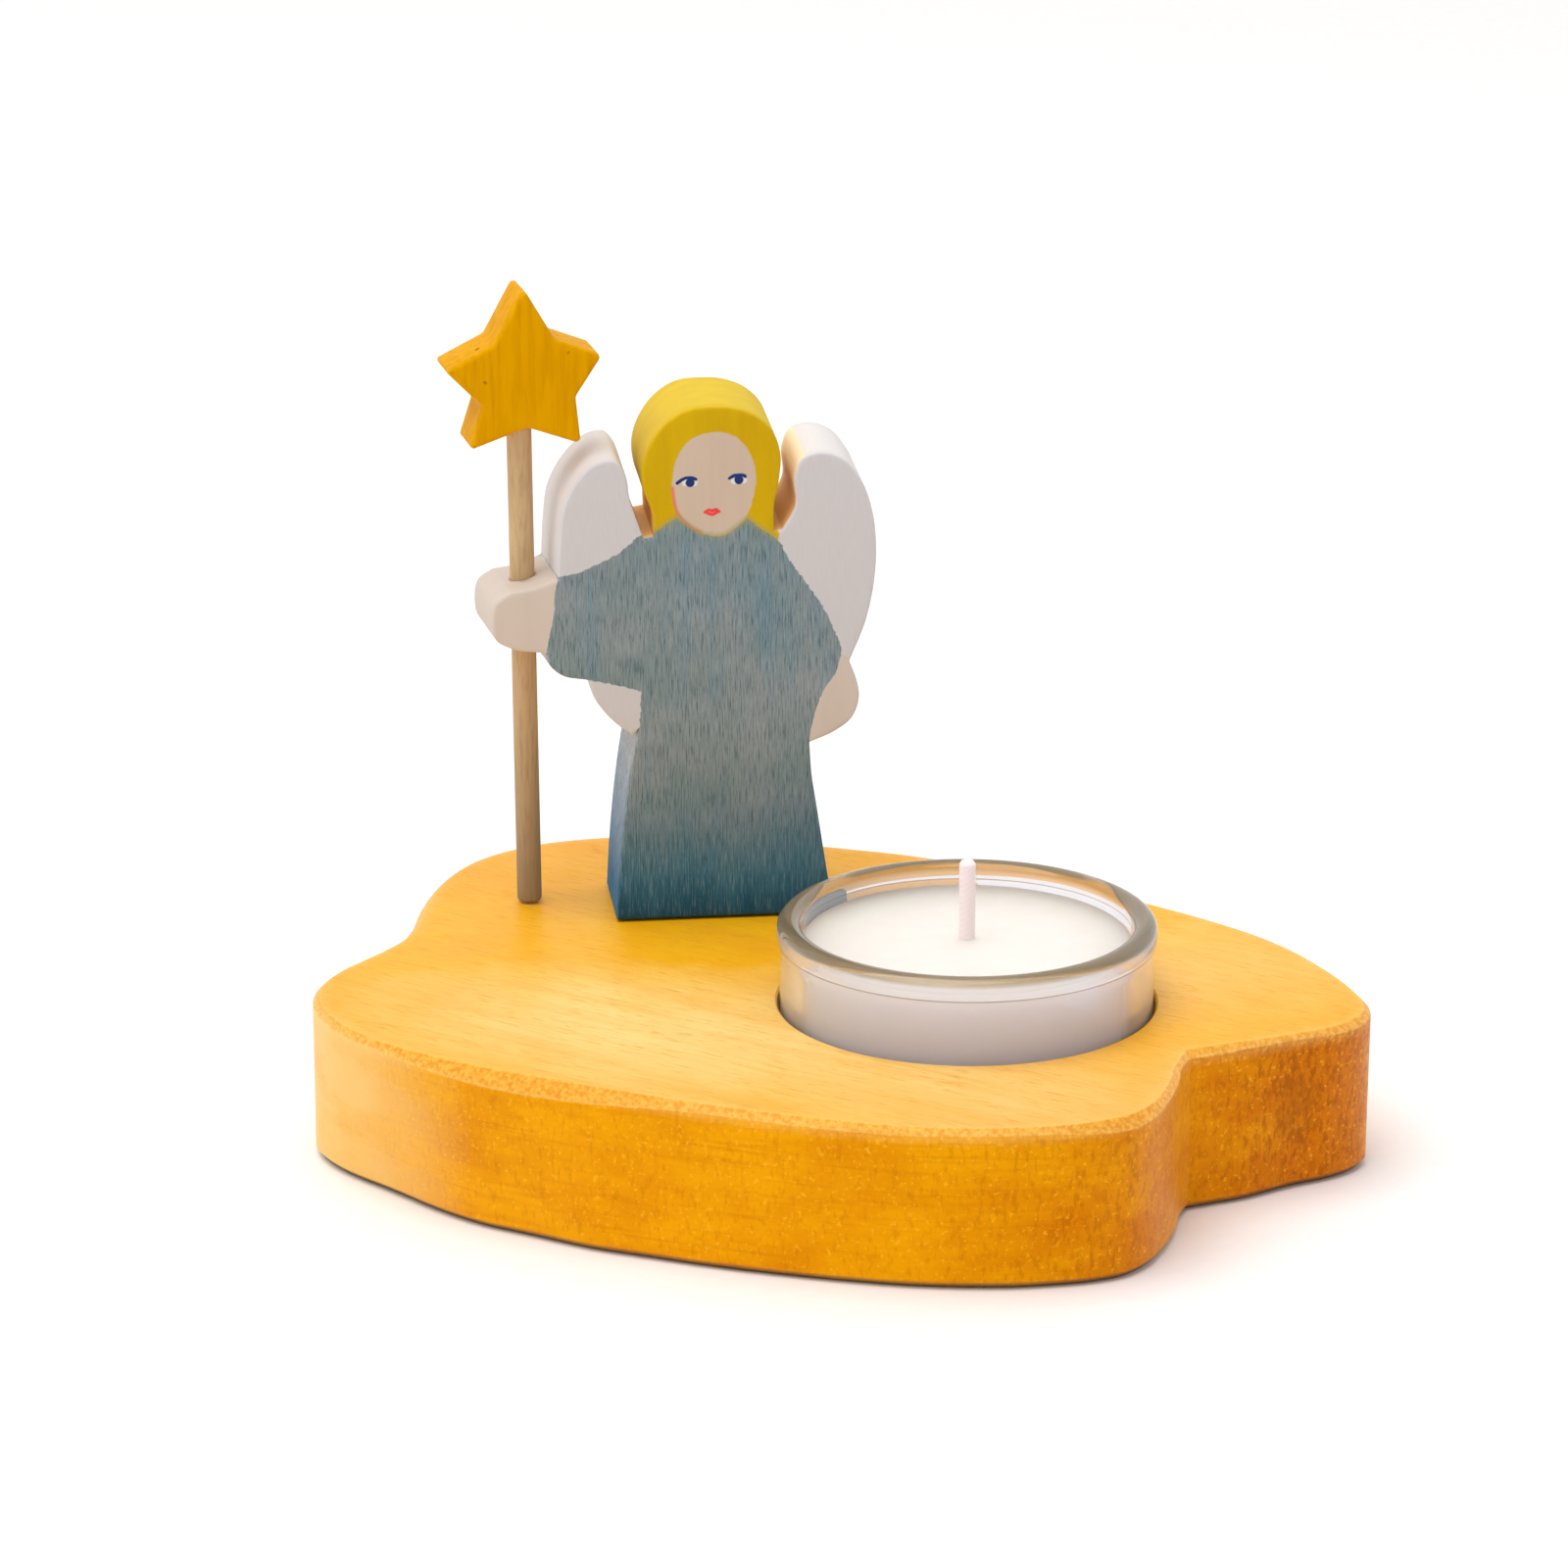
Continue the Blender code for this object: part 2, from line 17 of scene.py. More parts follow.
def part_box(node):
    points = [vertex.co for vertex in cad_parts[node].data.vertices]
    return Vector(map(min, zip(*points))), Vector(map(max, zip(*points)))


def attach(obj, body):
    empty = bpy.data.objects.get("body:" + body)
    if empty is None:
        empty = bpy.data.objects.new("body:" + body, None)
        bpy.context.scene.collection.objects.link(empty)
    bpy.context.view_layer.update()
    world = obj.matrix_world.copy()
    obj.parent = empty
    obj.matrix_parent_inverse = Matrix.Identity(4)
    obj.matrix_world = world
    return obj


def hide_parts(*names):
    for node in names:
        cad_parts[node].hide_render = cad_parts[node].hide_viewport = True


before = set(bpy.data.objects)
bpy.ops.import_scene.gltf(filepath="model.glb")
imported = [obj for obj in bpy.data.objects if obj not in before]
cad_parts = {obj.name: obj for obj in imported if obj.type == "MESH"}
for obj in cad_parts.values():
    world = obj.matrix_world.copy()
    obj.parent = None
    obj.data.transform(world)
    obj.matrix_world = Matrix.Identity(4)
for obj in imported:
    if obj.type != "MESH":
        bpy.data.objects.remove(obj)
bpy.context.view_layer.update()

bl_info = {
    "name": "Angel candle holder",
    "version": (1, 0, 0),
    "blender": (4, 5, 0),
    "location": "3D View > Sidebar > Holder",
    "description": "Builds the painted angel, its star, the board and the tealight over the packed part",
    "category": "Object",
}

MM = 0.001

# Places and sizes from the frame
BOARD_LOW, BOARD_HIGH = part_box("base_board")
FIGURE_LOW, FIGURE_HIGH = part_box("angel_figure")
GLASS_LOW, GLASS_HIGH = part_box("tealight_glass")
WAX_LOW, WAX_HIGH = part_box("candle_wax")
WICK_LOW, WICK_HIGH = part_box("wick")
STAR_LOW, STAR_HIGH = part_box("star")
GLASS_AXIS = (GLASS_LOW + GLASS_HIGH) / 2

# Sizes that no box gives
BOARD_FOOT_CHAMFER = 1.0 * MM
RECESS_DEPTH = 11.5 * MM
RECESS_CLEARANCE = 0.3 * MM
GLASS_BEAD = 0.35 * MM
GLASS_WALL = 2.6 * MM
GLASS_FLOOR = 2.8 * MM
GLASS_FOOT_ROUND = 1.6 * MM
RIM_ROUND = 1.3 * MM
BEAD_BELOW_RIM = 1.9 * MM
BEAD_RISE = 1.6 * MM
MOULD_SEAM = 2.6 * MM                      # its depth below the rim
WICK_DISC_ROOM = (6.3 * MM, 0.7 * MM)      # radius and height of the hollow for the tin disc
WICK_COLLAR_ROOM = (1.95 * MM, 4.0 * MM)   # the same for its collar
FIGURE_WIDTH = 46.0 * MM                   # of its front, which the strayed cut passes on the left
STAFF_RADIUS = 1.5 * MM
HOLE_CLEARANCE = 0.12 * MM
STAR_THICKNESS = 7.0 * MM
STAR_TURN = math.radians(7.5)
GRAIN_TURN = math.radians(39)
FAR_OUTSIDE = -5.0                         # millimetres, for what lies off the face that a paint is on
WELD = 1e-6

# How finely surfaces are cut
BOARD_STEP = 0.8 * MM
TOP_STEP = 1.6 * BOARD_STEP
UNDER_STEP = 4 * BOARD_STEP
WALL_RINGS = 24
FIGURE_STEP = 0.45 * MM
FACE_STEP = 0.13 * MM
FACE_MARGIN = 1.06                         # the finely cut zone's size over the painted face's
STAR_STEP = 0.4 * MM
ROUND_SIDES = 160
SMALL_SIDES = 40
LENGTH_RINGS = 60                          # along the dowel, the wick and the wax's top
ARC_STEPS = 5
MITRE_LIMIT = 0.6

# Camera, from the glass's axis and the board's underside
CAMERA_OFFSET = (-106.8 * MM, -748.6 * MM, 294.03 * MM)
CAMERA_TURN = math.radians(6.5)
CAMERA_TILT = math.radians(18.16)
CAMERA_LENS = 157.5
FAR_CLIP = 20.0
PAPER_HALF = 4.0

# Light: the sky's strength before and behind, and each lamp's place from the glass in metres, size and power
SKY_FRONT = 0.47
SKY_BACK = 1.05
LAMPS = (
    ("key", (-0.35, -0.25, 1.25), 1.2, 12.0),
    ("fill", (-0.5, -1.2, 0.9), 1.0, 1.0),
)

# The board's outline in millimetres, clockwise as seen from above, in two smooth runs from the crease.
BOARD_LEFT_AND_BACK = (
    (23.2, -20.6), (21.8, -23.4), (20.3, -28.7), (18.5, -33.6), (16.2, -38.0), (13.4, -40.8), (9.6, -42.3),
    (3.6, -43.0), (-4.2, -42.8), (-11.8, -41.5), (-19.4, -38.9), (-25.5, -36.2), (-32.9, -32.5),
    (-40.4, -28.5), (-46.4, -25.3), (-52.0, -22.0), (-58.3, -17.9), (-63.3, -13.9), (-67.3, -9.9),
    (-70.9, -5.6), (-73.7, -1.1), (-75.5, 4.0), (-76.1, 9.5), (-75.4, 13.6), (-73.0, 18.3), (-70.0, 22.0),
    (-67.2, 25.3), (-64.9, 28.6), (-63.1, 33.2), (-61.8, 39.1), (-60.4, 44.5), (-57.8, 51.4), (-53.4, 57.8),
    (-45.6, 62.9), (-36.5, 64.7), (-23.0, 63.2), (-9.0, 57.8), (2.1, 52.5), (14.9, 42.8), (28.4, 30.6),
    (33.5, 25.0), (39.4, 17.0), (42.0, 12.0), (44.0, 6.7), (45.4, 2.2), (46.3, -2.0), (46.8, -5.6),
)
BOARD_RIGHT_LOBE = (
    (46.8, -5.6), (46.4, -9.0), (44.7, -12.0), (41.6, -14.6), (36.8, -16.3), (32.2, -17.8), (27.9, -19.1),
    (23.2, -20.6),
)
# Where the sawn wall leans in towards its foot, and where the top chamfer is sanded wider or narrower:
# place, reach and depth in millimetres.
UNDERCUTS = (
    (-70.0, -6.0, 18.0, 2.7), (-57.0, -18.5, 14.0, 1.0), (-10.0, -41.0, 30.0, 1.1), (13.5, -39.5, 16.0, 0.7),
    (40.0, -15.0, 12.0, 1.6),
)
CHAMFER_CHANGES = (
    (-54.0, -21.0, 24.0, 1.1), (12.0, -40.0, 9.0, 0.5), (-3.0, -41.0, 14.0, -0.18), (35.0, -15.5, 10.0, -0.3),
    (21.5, -23.0, 4.0, -0.3),
)
# Painted sheen on the top: where the bright room's reflection is painted in as paler stain, and, with a
# negative share, taken away: place, reach and share
PAINTED_SHEEN = (
    (-32.0, -12.0, 36.0, 0.85), (0.0, -33.0, 30.0, 0.75), (30.0, 8.0, 26.0, 0.4), (-56.0, 4.0, 26.0, 0.4),
    (-26.0, 26.0, 14.0, -0.5), (-62.0, 30.0, 20.0, -0.4),
)
# Where the wall is painted paler or darker: partly stain, and partly painted light on the left end and
# painted shade on the right lobe. Place, reach in plan and share
PALE_WALL = ((-76.0, 6.0, 34.0, 0.95),)
DARK_WALL = ((16.0, -36.0, 30.0, 0.45), (40.0, -14.0, 22.0, 0.9))
SMEAR = (36.4, -16.4, 11.0)
SMEAR_REACH = (4.8, 6.0, 8.5)

# The figure's outline in millimetres from its axis and its foot, seen from the front, counterclockwise.
FIGURE_RUNS = (
    ((-10.2, 0.0), (16.2, 0.0)),
    ((16.2, 0.0), (15.2, 6.3), (14.1, 13.6), (13.4, 18.5), (13.2, 21.9)),
    ((13.2, 21.9), (16.2, 23.2), (18.2, 24.7), (19.2, 27.6), (18.8, 29.9), (18.0, 32.0)),
    (
        (18.0, 32.0), (20.0, 37.2), (20.9, 41.5), (21.2, 46.0), (20.8, 50.4), (19.3, 54.8), (17.0, 57.5),
        (14.3, 58.3), (12.2, 57.5), (11.4, 55.6), (11.4, 51.6), (9.9, 48.9),
    ),
    ((9.9, 48.9), (8.9, 48.7)),
    (
        (8.9, 48.7), (8.9, 51.6), (9.5, 55.0), (9.7, 58.2), (8.8, 61.0), (6.8, 63.0), (4.0, 64.1),
        (1.4, 64.3), (-1.4, 64.0), (-4.0, 62.4), (-5.9, 59.8), (-6.8, 57.0), (-6.6, 54.0), (-5.7, 51.5),
        (-5.5, 48.5),
    ),
    ((-5.5, 48.5), (-6.7, 48.3)),
    (
        (-6.7, 48.3), (-7.6, 50.9), (-8.3, 53.2), (-8.9, 56.4), (-10.2, 58.0), (-12.4, 57.7), (-14.6, 55.6),
        (-16.1, 52.6), (-16.7, 48.0), (-16.9, 43.5),
    ),
    ((-16.9, 43.5), (-20.1, 42.4), (-22.6, 42.0)),
    ((-22.6, 42.0), (-24.3, 40.8), (-24.8, 38.4), (-24.3, 36.0), (-22.6, 35.0), (-18.5, 34.3)),
    ((-18.5, 34.3), (-17.9, 32.6), (-16.7, 31.5), (-13.4, 30.7)),
    ((-13.4, 30.7), (-12.9, 28.8), (-11.6, 26.7), (-9.9, 24.9), (-8.1, 23.5)),
    ((-8.1, 23.5), (-7.4, 24.4)),
    ((-7.4, 24.4), (-8.2, 20.4), (-9.0, 15.0), (-9.6, 9.4), (-10.0, 4.0), (-10.2, 0.0)),
)
# The saw strayed on its way back round the left hand: by how much (x, z), from where, over which stretch
SAW_DRIFT = (-1.2, -1.0)
DRIFT_STARTS = -12.0
DRIFT_BLEND = 6.0

# Lines along which the figure is painted, in the same millimetres
NECKLINE = (
    (-5.5, 48.6), (-4.1, 49.5), (-2.8, 50.4), (-0.9, 49.0), (0.5, 48.2), (1.8, 47.9), (3.0, 48.0),
    (4.3, 48.9), (5.8, 50.0), (6.9, 49.0), (8.3, 48.0), (9.0, 47.5),
)
ROBE_ZONE = (
    (-16.9, 43.5), (-15.8, 43.6), (-14.2, 44.0), (-11.9, 45.0), (-9.9, 46.0), (-8.1, 47.4), (-7.5, 48.1),
    (-6.6, 48.3), *NECKLINE, (9.6, 46.9), (10.6, 44.9), (12.7, 41.8), (14.6, 39.1), (15.9, 36.3),
    (16.9, 34.0), (17.0, 32.6), (16.4, 30.4), (14.9, 28.3), (14.0, 26.0), (13.3, 23.2), (13.2, 21.85),
    (22.0, 19.0), (22.0, -5.0), (-16.0, -5.0), (-16.0, 18.0), (-8.5, 22.8),
    (-7.35, 24.3), (-7.1, 28.9), (-9.5, 29.6), (-13.2, 30.55), (-15.5, 29.8), (-20.0, 31.5), (-18.5, 34.0),
    (-18.0, 36.5), (-17.5, 38.8), (-17.4, 41.1), (-17.4, 43.1),
)
HAIR_ZONE = (
    (-6.1, 46.0), (-6.1, 50.5), (-7.6, 52.0), (-8.1, 60.0), (-6.0, 66.0), (10.0, 66.0), (11.0, 60.0),
    (10.6, 54.0), (9.4, 50.5), (9.45, 46.0),
)
FACE_ZONE = (
    (2.3, 60.8), (-0.3, 60.3), (-1.7, 59.3), (-2.7, 57.6), (-3.2, 55.5), (-3.2, 53.2), (-2.7, 51.2),
    (-1.6, 49.5), (0.2, 48.1), (2.2, 47.8), (4.2, 48.7), (5.6, 50.3), (6.3, 52.2), (6.75, 54.6),
    (6.5, 56.7), (5.7, 58.6), (4.3, 60.1),
)
LEFT_HAND_ZONE = (
    (-17.4, 41.1), (-17.5, 38.8), (-18.0, 36.5), (-18.5, 34.0), (-20.0, 31.5), (-30.0, 30.0), (-30.0, 44.6),
    (-16.9, 43.55),
)
RIGHT_HAND_ZONE = (
    (17.0, 32.9), (18.2, 31.9), (24.0, 31.5), (24.0, 19.0), (13.2, 21.5), (13.3, 23.2), (14.0, 26.0),
    (14.9, 28.3), (16.4, 30.4),
)
# Where the robe's wash is bluer: place, reach and share
BLUE_WASH = (
    (7.0, 39.0, 15.0, 0.75), (-2.0, 44.0, 9.0, 0.4), (10.0, 27.0, 9.0, -0.2), (1.0, 17.0, 12.0, -0.5),
)
NECK_HALF = 0.3
# Strokes of the fine brush: their middle lines and half widths
LIDS = (
    ((-2.65, 54.59), (-2.18, 54.93), (-1.43, 55.21), (-0.78, 55.15), (-0.21, 54.89)),
    ((3.55, 54.99), (4.00, 55.25), (4.65, 55.37), (5.25, 55.29), (5.65, 55.01)),
)
LID_HALF = 0.2
IRISES = ((-1.13, 54.59), (4.70, 54.77))
IRIS_RADIUS = 0.55
WHITES = ((-1.68, 54.62), (-0.65, 54.57), (4.15, 54.69), (5.25, 54.72))
WHITE_RADIUS = 0.42
UPPER_LIP = ((0.68, 50.92), (1.13, 51.19), (1.52, 51.05), (1.90, 51.21), (2.30, 50.97))
LOWER_LIP = ((0.98, 50.77), (1.53, 50.57), (2.03, 50.79))
LIP_HALF = 0.2
BLUSH = ((-3.2, 54.0), (-3.05, 52.6), (-2.72, 51.2), (-2.05, 50.1), (-1.0, 49.1), (0.5, 48.2))
BLUSH_HALF = 0.17
# Where the saw left bare wood between head and wings: corners, and the height where it is painted again
KERFS = (
    (((-9.6, 47.6), (-9.6, 52.4), (-5.0, 52.4), (-5.0, 47.6)), 53.0),
    (((8.2, 47.6), (8.2, 58.4), (12.7, 58.4), (12.7, 47.6)), 58.2),
)

# The star's corners in millimetres from the staff's axis and the lower tips, with each corner's radius.
STAR_CORNERS = (
    (6.7, 0.0, 0.5), (6.1, 5.6, 1.0), (9.3, 10.3, 0.6), (3.7, 12.5, 1.3), (0.1, 18.6, 0.5),
    (-3.5, 12.2, 1.0), (-9.2, 9.5, 0.4), (-4.9, 5.1, 0.9), (-6.6, 0.0, 0.4), (0.4, 2.3, 1.6),
)


def linear(hex_colour):
    """Linear red, green and blue of an sRGB colour written as six hex digits."""
    channels = [int(hex_colour[i:i + 2], 16) / 255 for i in (0, 2, 4)]
    return tuple(c / 12.92 if c <= 0.04045 else ((c + 0.055) / 1.055) ** 2.4 for c in channels)


def colour(name, description, hex_colour):
    """A colour that the user may change."""
    return FloatVectorProperty(
        name=name, description=description, subtype="COLOR", size=3, min=0, max=1, default=linear(hex_colour))


def length(name, description, default):
    """A length that the user may change."""
    return FloatProperty(
        name=name, description=description, subtype="DISTANCE", unit="LENGTH", default=default)


class HolderSizes(bpy.types.PropertyGroup):
    """Small sizes of the dressed pieces."""

    top_chamfer: length("Top chamfer", "Sanded edge round the board's top", 0.85 * MM)
    crest_round: length("Crest round", "Rounding of the crests beside the chamfer", 0.3 * MM)
    figure_edge: length("Figure edge", "Softening of the figure's sawn edges", 0.32 * MM)
    star_edge: length("Star edge", "Softening of the star's edges", 0.5 * MM)
    meniscus: length("Meniscus", "How far the wax climbs the glass", 0.5 * MM)
    wax_mound: length("Wax mound", "How far the wax climbs the wick", 0.5 * MM)


class HolderColours(bpy.types.PropertyGroup):
    """Colours of the stains, paints and materials."""

    stain: colour("Stain", "Amber stain on the board", "F7B60E")
    stain_deep: colour("Deep stain", "Where the stain soaked in", "D27200")
    robe: colour("Robe", "Grey-green wash of the robe", "7D8D8F")
    robe_blue: colour("Robe blue", "Blue of the robe's streaks", "62869A")
    hem: colour("Hem", "Deep blue at the hem", "084464")
    hair: colour("Hair", "Yellow of the hair", "D3AC00")
    skin: colour("Skin", "Face and hands", "CFB9A5")
    wings: colour("Wings", "White of the wings", "CFCBCC")
    bare_wood: colour("Bare wood", "Sawn wood between head and wings", "E6B776")
    lips: colour("Lips", "Mouth and edge of the cheek", "EA4644")
    eyes: colour("Eyes", "Lids and irises", "1F3470")
    star: colour("Star", "Yellow of the star", "DE9E00")
    dowel: colour("Dowel", "Plain beech of the staff", "CCAC80")
    glass: colour("Glass", "Tint of the glass", "FAFAFF")
    wax: colour("Wax", "White of the wax", "F2E8E0")
    wick: colour("Wick", "Waxed cotton of the wick", "FBEBEB")


def smooth_run(knots, step):
    """Points of a smooth curve through the knots, without the last one.

    Between two knots it is a cubic. Its slope at a knot is the mean of the slopes of the two chords there,
    each weighted by the other's length.
    """
    knots = np.array(knots, float)
    ends = np.vstack([2 * knots[0] - knots[1], knots, 2 * knots[-1] - knots[-2]])
    chords = np.diff(ends, axis=0)
    lengths = np.linalg.norm(chords, axis=1)
    slopes = chords / lengths[:, None]
    at_knots = slopes[:-1] * lengths[1:, None] + slopes[1:] * lengths[:-1, None]
    at_knots /= (lengths[:-1] + lengths[1:])[:, None]
    points = []
    for i in range(len(knots) - 1):
        span = lengths[i + 1]
        count = max(1, round(span / step))
        t = (np.arange(count) / count)[:, None]
        points.append(
            (2 * t**3 - 3 * t**2 + 1) * knots[i] + (t**3 - 2 * t**2 + t) * span * at_knots[i]
            + (3 * t**2 - 2 * t**3) * knots[i + 1] + (t**3 - t**2) * span * at_knots[i + 1]
        )
    return np.vstack(points)


def drawn_outline(runs, step):
    """Points in millimetres of a closed outline drawn in smooth runs, about a step in metres apart."""
    return np.vstack([smooth_run(run, step / MM) for run in runs])


def rounded_corners(corners, step):
    """Points of a closed outline whose corners (x, y, radius) are arcs joined by straight sides."""
    points = np.array([c[:2] for c in corners], float)
    outline = []
    for i, (_, _, radius) in enumerate(corners):
        corner = points[i]
        before = points[i - 1] - corner
        after = points[(i + 1) % len(points)] - corner
        before /= np.linalg.norm(before)
        after /= np.linalg.norm(after)
        middle = (before + after) / np.linalg.norm(before + after)
        half = math.acos(np.clip(before @ after, -1, 1)) / 2
        centre = corner + middle * radius / math.sin(half)
        spokes = [corner + side * radius / math.tan(half) - centre for side in (before, after)]
        t = np.linspace(0, 1, ARC_STEPS + 1)[:, None]
        arc = spokes[0] * (1 - t) + spokes[1] * t
        outline.append(centre + arc / np.linalg.norm(arc, axis=1)[:, None] * radius)
    sides = []
    for i, arc in enumerate(outline):
        start, end = arc[-1], outline[(i + 1) % len(outline)][0]
        count = max(1, round(np.linalg.norm(end - start) / step))
        t = (np.arange(1, count) / count)[:, None]
        sides += [arc, start * (1 - t) + end * t]
    return np.vstack(sides)


def fit(points, drawn, width, height):
    """Scale drawn points so that the drawn outline gets this width and height. Zero stays where it is."""
    scale = np.array([width, height]) / (drawn.max(axis=0) - drawn.min(axis=0))
    return np.array(points, float) * scale


def inset(outline, distance):
    """A closed outline moved inwards by a distance, one value or one for each point."""
    ahead = np.roll(outline, -1, axis=0) - outline
    ahead /= np.linalg.norm(ahead, axis=1)[:, None]
    area = np.sum(outline[:, 0] * np.roll(outline[:, 1], -1) - np.roll(outline[:, 0], -1) * outline[:, 1])
    inward = np.stack([-ahead[:, 1], ahead[:, 0]], 1) * np.sign(area)
    behind = np.roll(inward, 1, axis=0)
    share = np.maximum(1 + np.sum(inward * behind, axis=1), MITRE_LIMIT)
    return outline + (inward + behind) / share[:, None] * np.reshape(distance, (-1, 1))


def line_distance(points, line):
    """Distance of each point to a line of straight stretches: the least over the stretches."""
    start, side = line[:-1], np.diff(line, axis=0)
    nearest = np.full(len(points), np.inf)
    for a, d in zip(start, side):
        t = np.clip((points - a) @ d / (d @ d), 0, 1)
        nearest = np.minimum(nearest, np.linalg.norm(points - a - t[:, None] * d, axis=1))
    return nearest


def signed_distance(points, polygon):
    """Distance of each point to a closed polygon's nearest side, positive inside and negative outside.

    A point is inside where a level line from it crosses the sides an odd number of times.
    """
    line = np.vstack([polygon, polygon[:1]]).astype(float)
    inside = np.zeros(len(points), bool)
    x, y = points.T
    for (ax, ay), (bx, by) in zip(line[:-1], line[1:]):
        if ay != by:
            crosses = (ay > y) != (by > y)
            inside ^= crosses & (x < ax + (y - ay) * (bx - ax) / (by - ay))
    return np.where(inside, 1, -1) * line_distance(points, line)


def hex_grid(low, high, step):
    """Points in rows, every second row moved by half a step."""
    x, y = np.meshgrid(np.arange(low[0], high[0], step), np.arange(low[1], high[1], step * 0.866))
    x[1::2] += step / 2
    return np.stack([x.ravel(), y.ravel()], 1)


def cap(outline, step, holes=(), fine=None, fine_step=None):
    """Points and triangles that fill an outline round its holes, near enough equal-sided.

    The inside points are rows a step apart, closer inside the fine zone. They and the outlines are joined by
    a Delaunay triangulation, and the triangles whose middles lie outside or in a hole are dropped.
    """
    rings = [np.asarray(outline, float), *holes]
    inner = hex_grid(rings[0].min(axis=0), rings[0].max(axis=0), step)
    inner = inner[signed_distance(inner, rings[0]) > 0.5 * step]
    for hole in holes:
        inner = inner[signed_distance(inner, hole) < -0.5 * step]
    if fine is not None:
        inner = inner[signed_distance(inner, fine) < 0]
        close = hex_grid(fine.min(axis=0), fine.max(axis=0), fine_step)
        inner = np.vstack([inner, close[signed_distance(close, fine) > 0]])
    points, edges, start = [], [], 0
    for ring in rings:
        count = len(ring)
        order = np.arange(count)
        points.append(ring)
        edges.append(np.stack([order, (order + 1) % count], 1) + start)
        start += count
    points = np.vstack(points + [inner])
    middle = points.mean(axis=0)
    found = delaunay_2d_cdt(
        [Vector(p) for p in (points - middle) / step], np.vstack(edges).tolist(), [], 0, 1e-5, False)
    flat = np.array([tuple(v) for v in found[0]]) * step + middle
    triangles = np.array([tuple(f) for f in found[2]])
    centres = flat[triangles].mean(axis=1)
    keep = signed_distance(centres, rings[0]) > 0
    for hole in holes:
        keep &= signed_distance(centres, hole) < 0
    return flat, triangles[keep]


def band(rings):
    """Points and quads of a grid: rings of as many points each, joined to the next and closed round."""
    rings = np.asarray(rings)
    rows, count = rings.shape[:2]
    i = np.arange(count)
    j = (i + 1) % count
    low = (np.arange(rows - 1) * count)[:, None]
    quads = np.stack([low + i, low + j, low + count + j, low + count + i], 2).reshape(-1, 4)
    return rings.reshape(-1, 3), quads


def turned(profile, sides, centre):
    """A profile of (radius, height) carried round a vertical axis; ends on the axis close there."""
    radius, level = np.array(profile, float).T
    angles = 2 * math.pi * np.arange(sides) / sides
    rings = np.stack([
        np.outer(radius, np.cos(angles)), np.outer(radius, np.sin(angles)), np.outer(level, np.ones(sides)),
    ], 2)
    return band(rings + np.array(centre))


def arc(centre_r, centre_z, radius, start, end, steps=8):
    """Points of an arc in the (radius, height) plane, angles in degrees."""
    angles = np.radians(np.linspace(start, end, steps + 1))
    return [(centre_r + radius * math.cos(a), centre_z + radius * math.sin(a)) for a in angles]


def make_piece(name, parts, sharp=32):
    """One closed mesh of several (points, faces), welded where they meet, its faces pointing out."""
    points, faces, start = [], [], 0
    for part_points, part_faces in parts:
        points.append(part_points)
        faces += (np.asarray(part_faces) + start).tolist()
        start += len(part_points)
    mesh = bpy.data.meshes.new(name)
    mesh.from_pydata(np.vstack(points).tolist(), [], faces)
    solid = bmesh.new()
    solid.from_mesh(mesh)
    bmesh.ops.remove_doubles(solid, verts=solid.verts, dist=WELD)
    bmesh.ops.recalc_face_normals(solid, faces=solid.faces)
    solid.to_mesh(mesh)
    solid.free()
    mesh.shade_smooth()
    mesh.set_sharp_from_angle(angle=math.radians(sharp))
    piece = bpy.data.objects.new(name, mesh)
    bpy.context.scene.collection.objects.link(piece)
    return piece


def drill(piece, foot, axis, reach, radius):
    """Take a round hole out of a piece and apply the cut, so that its place stays in its mesh."""
    cutter = make_piece("drill", [leaning(turned([(0, 0), (radius, 0), (radius, reach), (0, reach)],
                                                 SMALL_SIDES, (0, 0, 0)), foot, axis)])
    modifier = piece.modifiers.new("hole", "BOOLEAN")
    modifier.operation = "DIFFERENCE"
    modifier.solver = "EXACT"
    modifier.object = cutter
    bpy.context.view_layer.update()
    evaluated = piece.evaluated_get(bpy.context.evaluated_depsgraph_get())
    cut_mesh = bpy.data.meshes.new_from_object(evaluated)
    piece.modifiers.remove(modifier)
    bpy.data.objects.remove(cutter)
    old = piece.data
    piece.data = cut_mesh
    bpy.data.meshes.remove(old)
    cut_mesh.name = piece.name


def leaning(part, foot, axis):
    """The same points and faces, turned so that up becomes the axis, and moved to the foot."""
    points, faces = part
    turn = np.array(Vector((0, 0, 1)).rotation_difference(axis).to_matrix())
    return points @ turn.T + np.array(foot), faces


def positions(piece):
    """The places of a piece's vertices as an array."""
    places = np.empty(len(piece.data.vertices) * 3)
    piece.data.vertices.foreach_get("co", places)
    return places.reshape(-1, 3)


def store(piece, name, values):
    """Keep one number for each vertex under a name that the material reads."""
    attribute = piece.data.attributes.new(name, "FLOAT", "POINT")
    attribute.data.foreach_set("value", np.asarray(values, np.float32))


def staff_line():
    """Foot, direction and length of the staff: the line through the middles of its CAD node's ends."""
    places = np.array([v.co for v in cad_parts["staff"].data.vertices])
    upper = places[:, 2] > places[:, 2].mean()
    axis = places[upper].mean(axis=0) - places[~upper].mean(axis=0)
    axis /= np.linalg.norm(axis)
    middle = places.mean(axis=0)
    along = (places - middle) @ axis
    return Vector(middle + axis * along.min()), Vector(axis), float(along.max() - along.min())


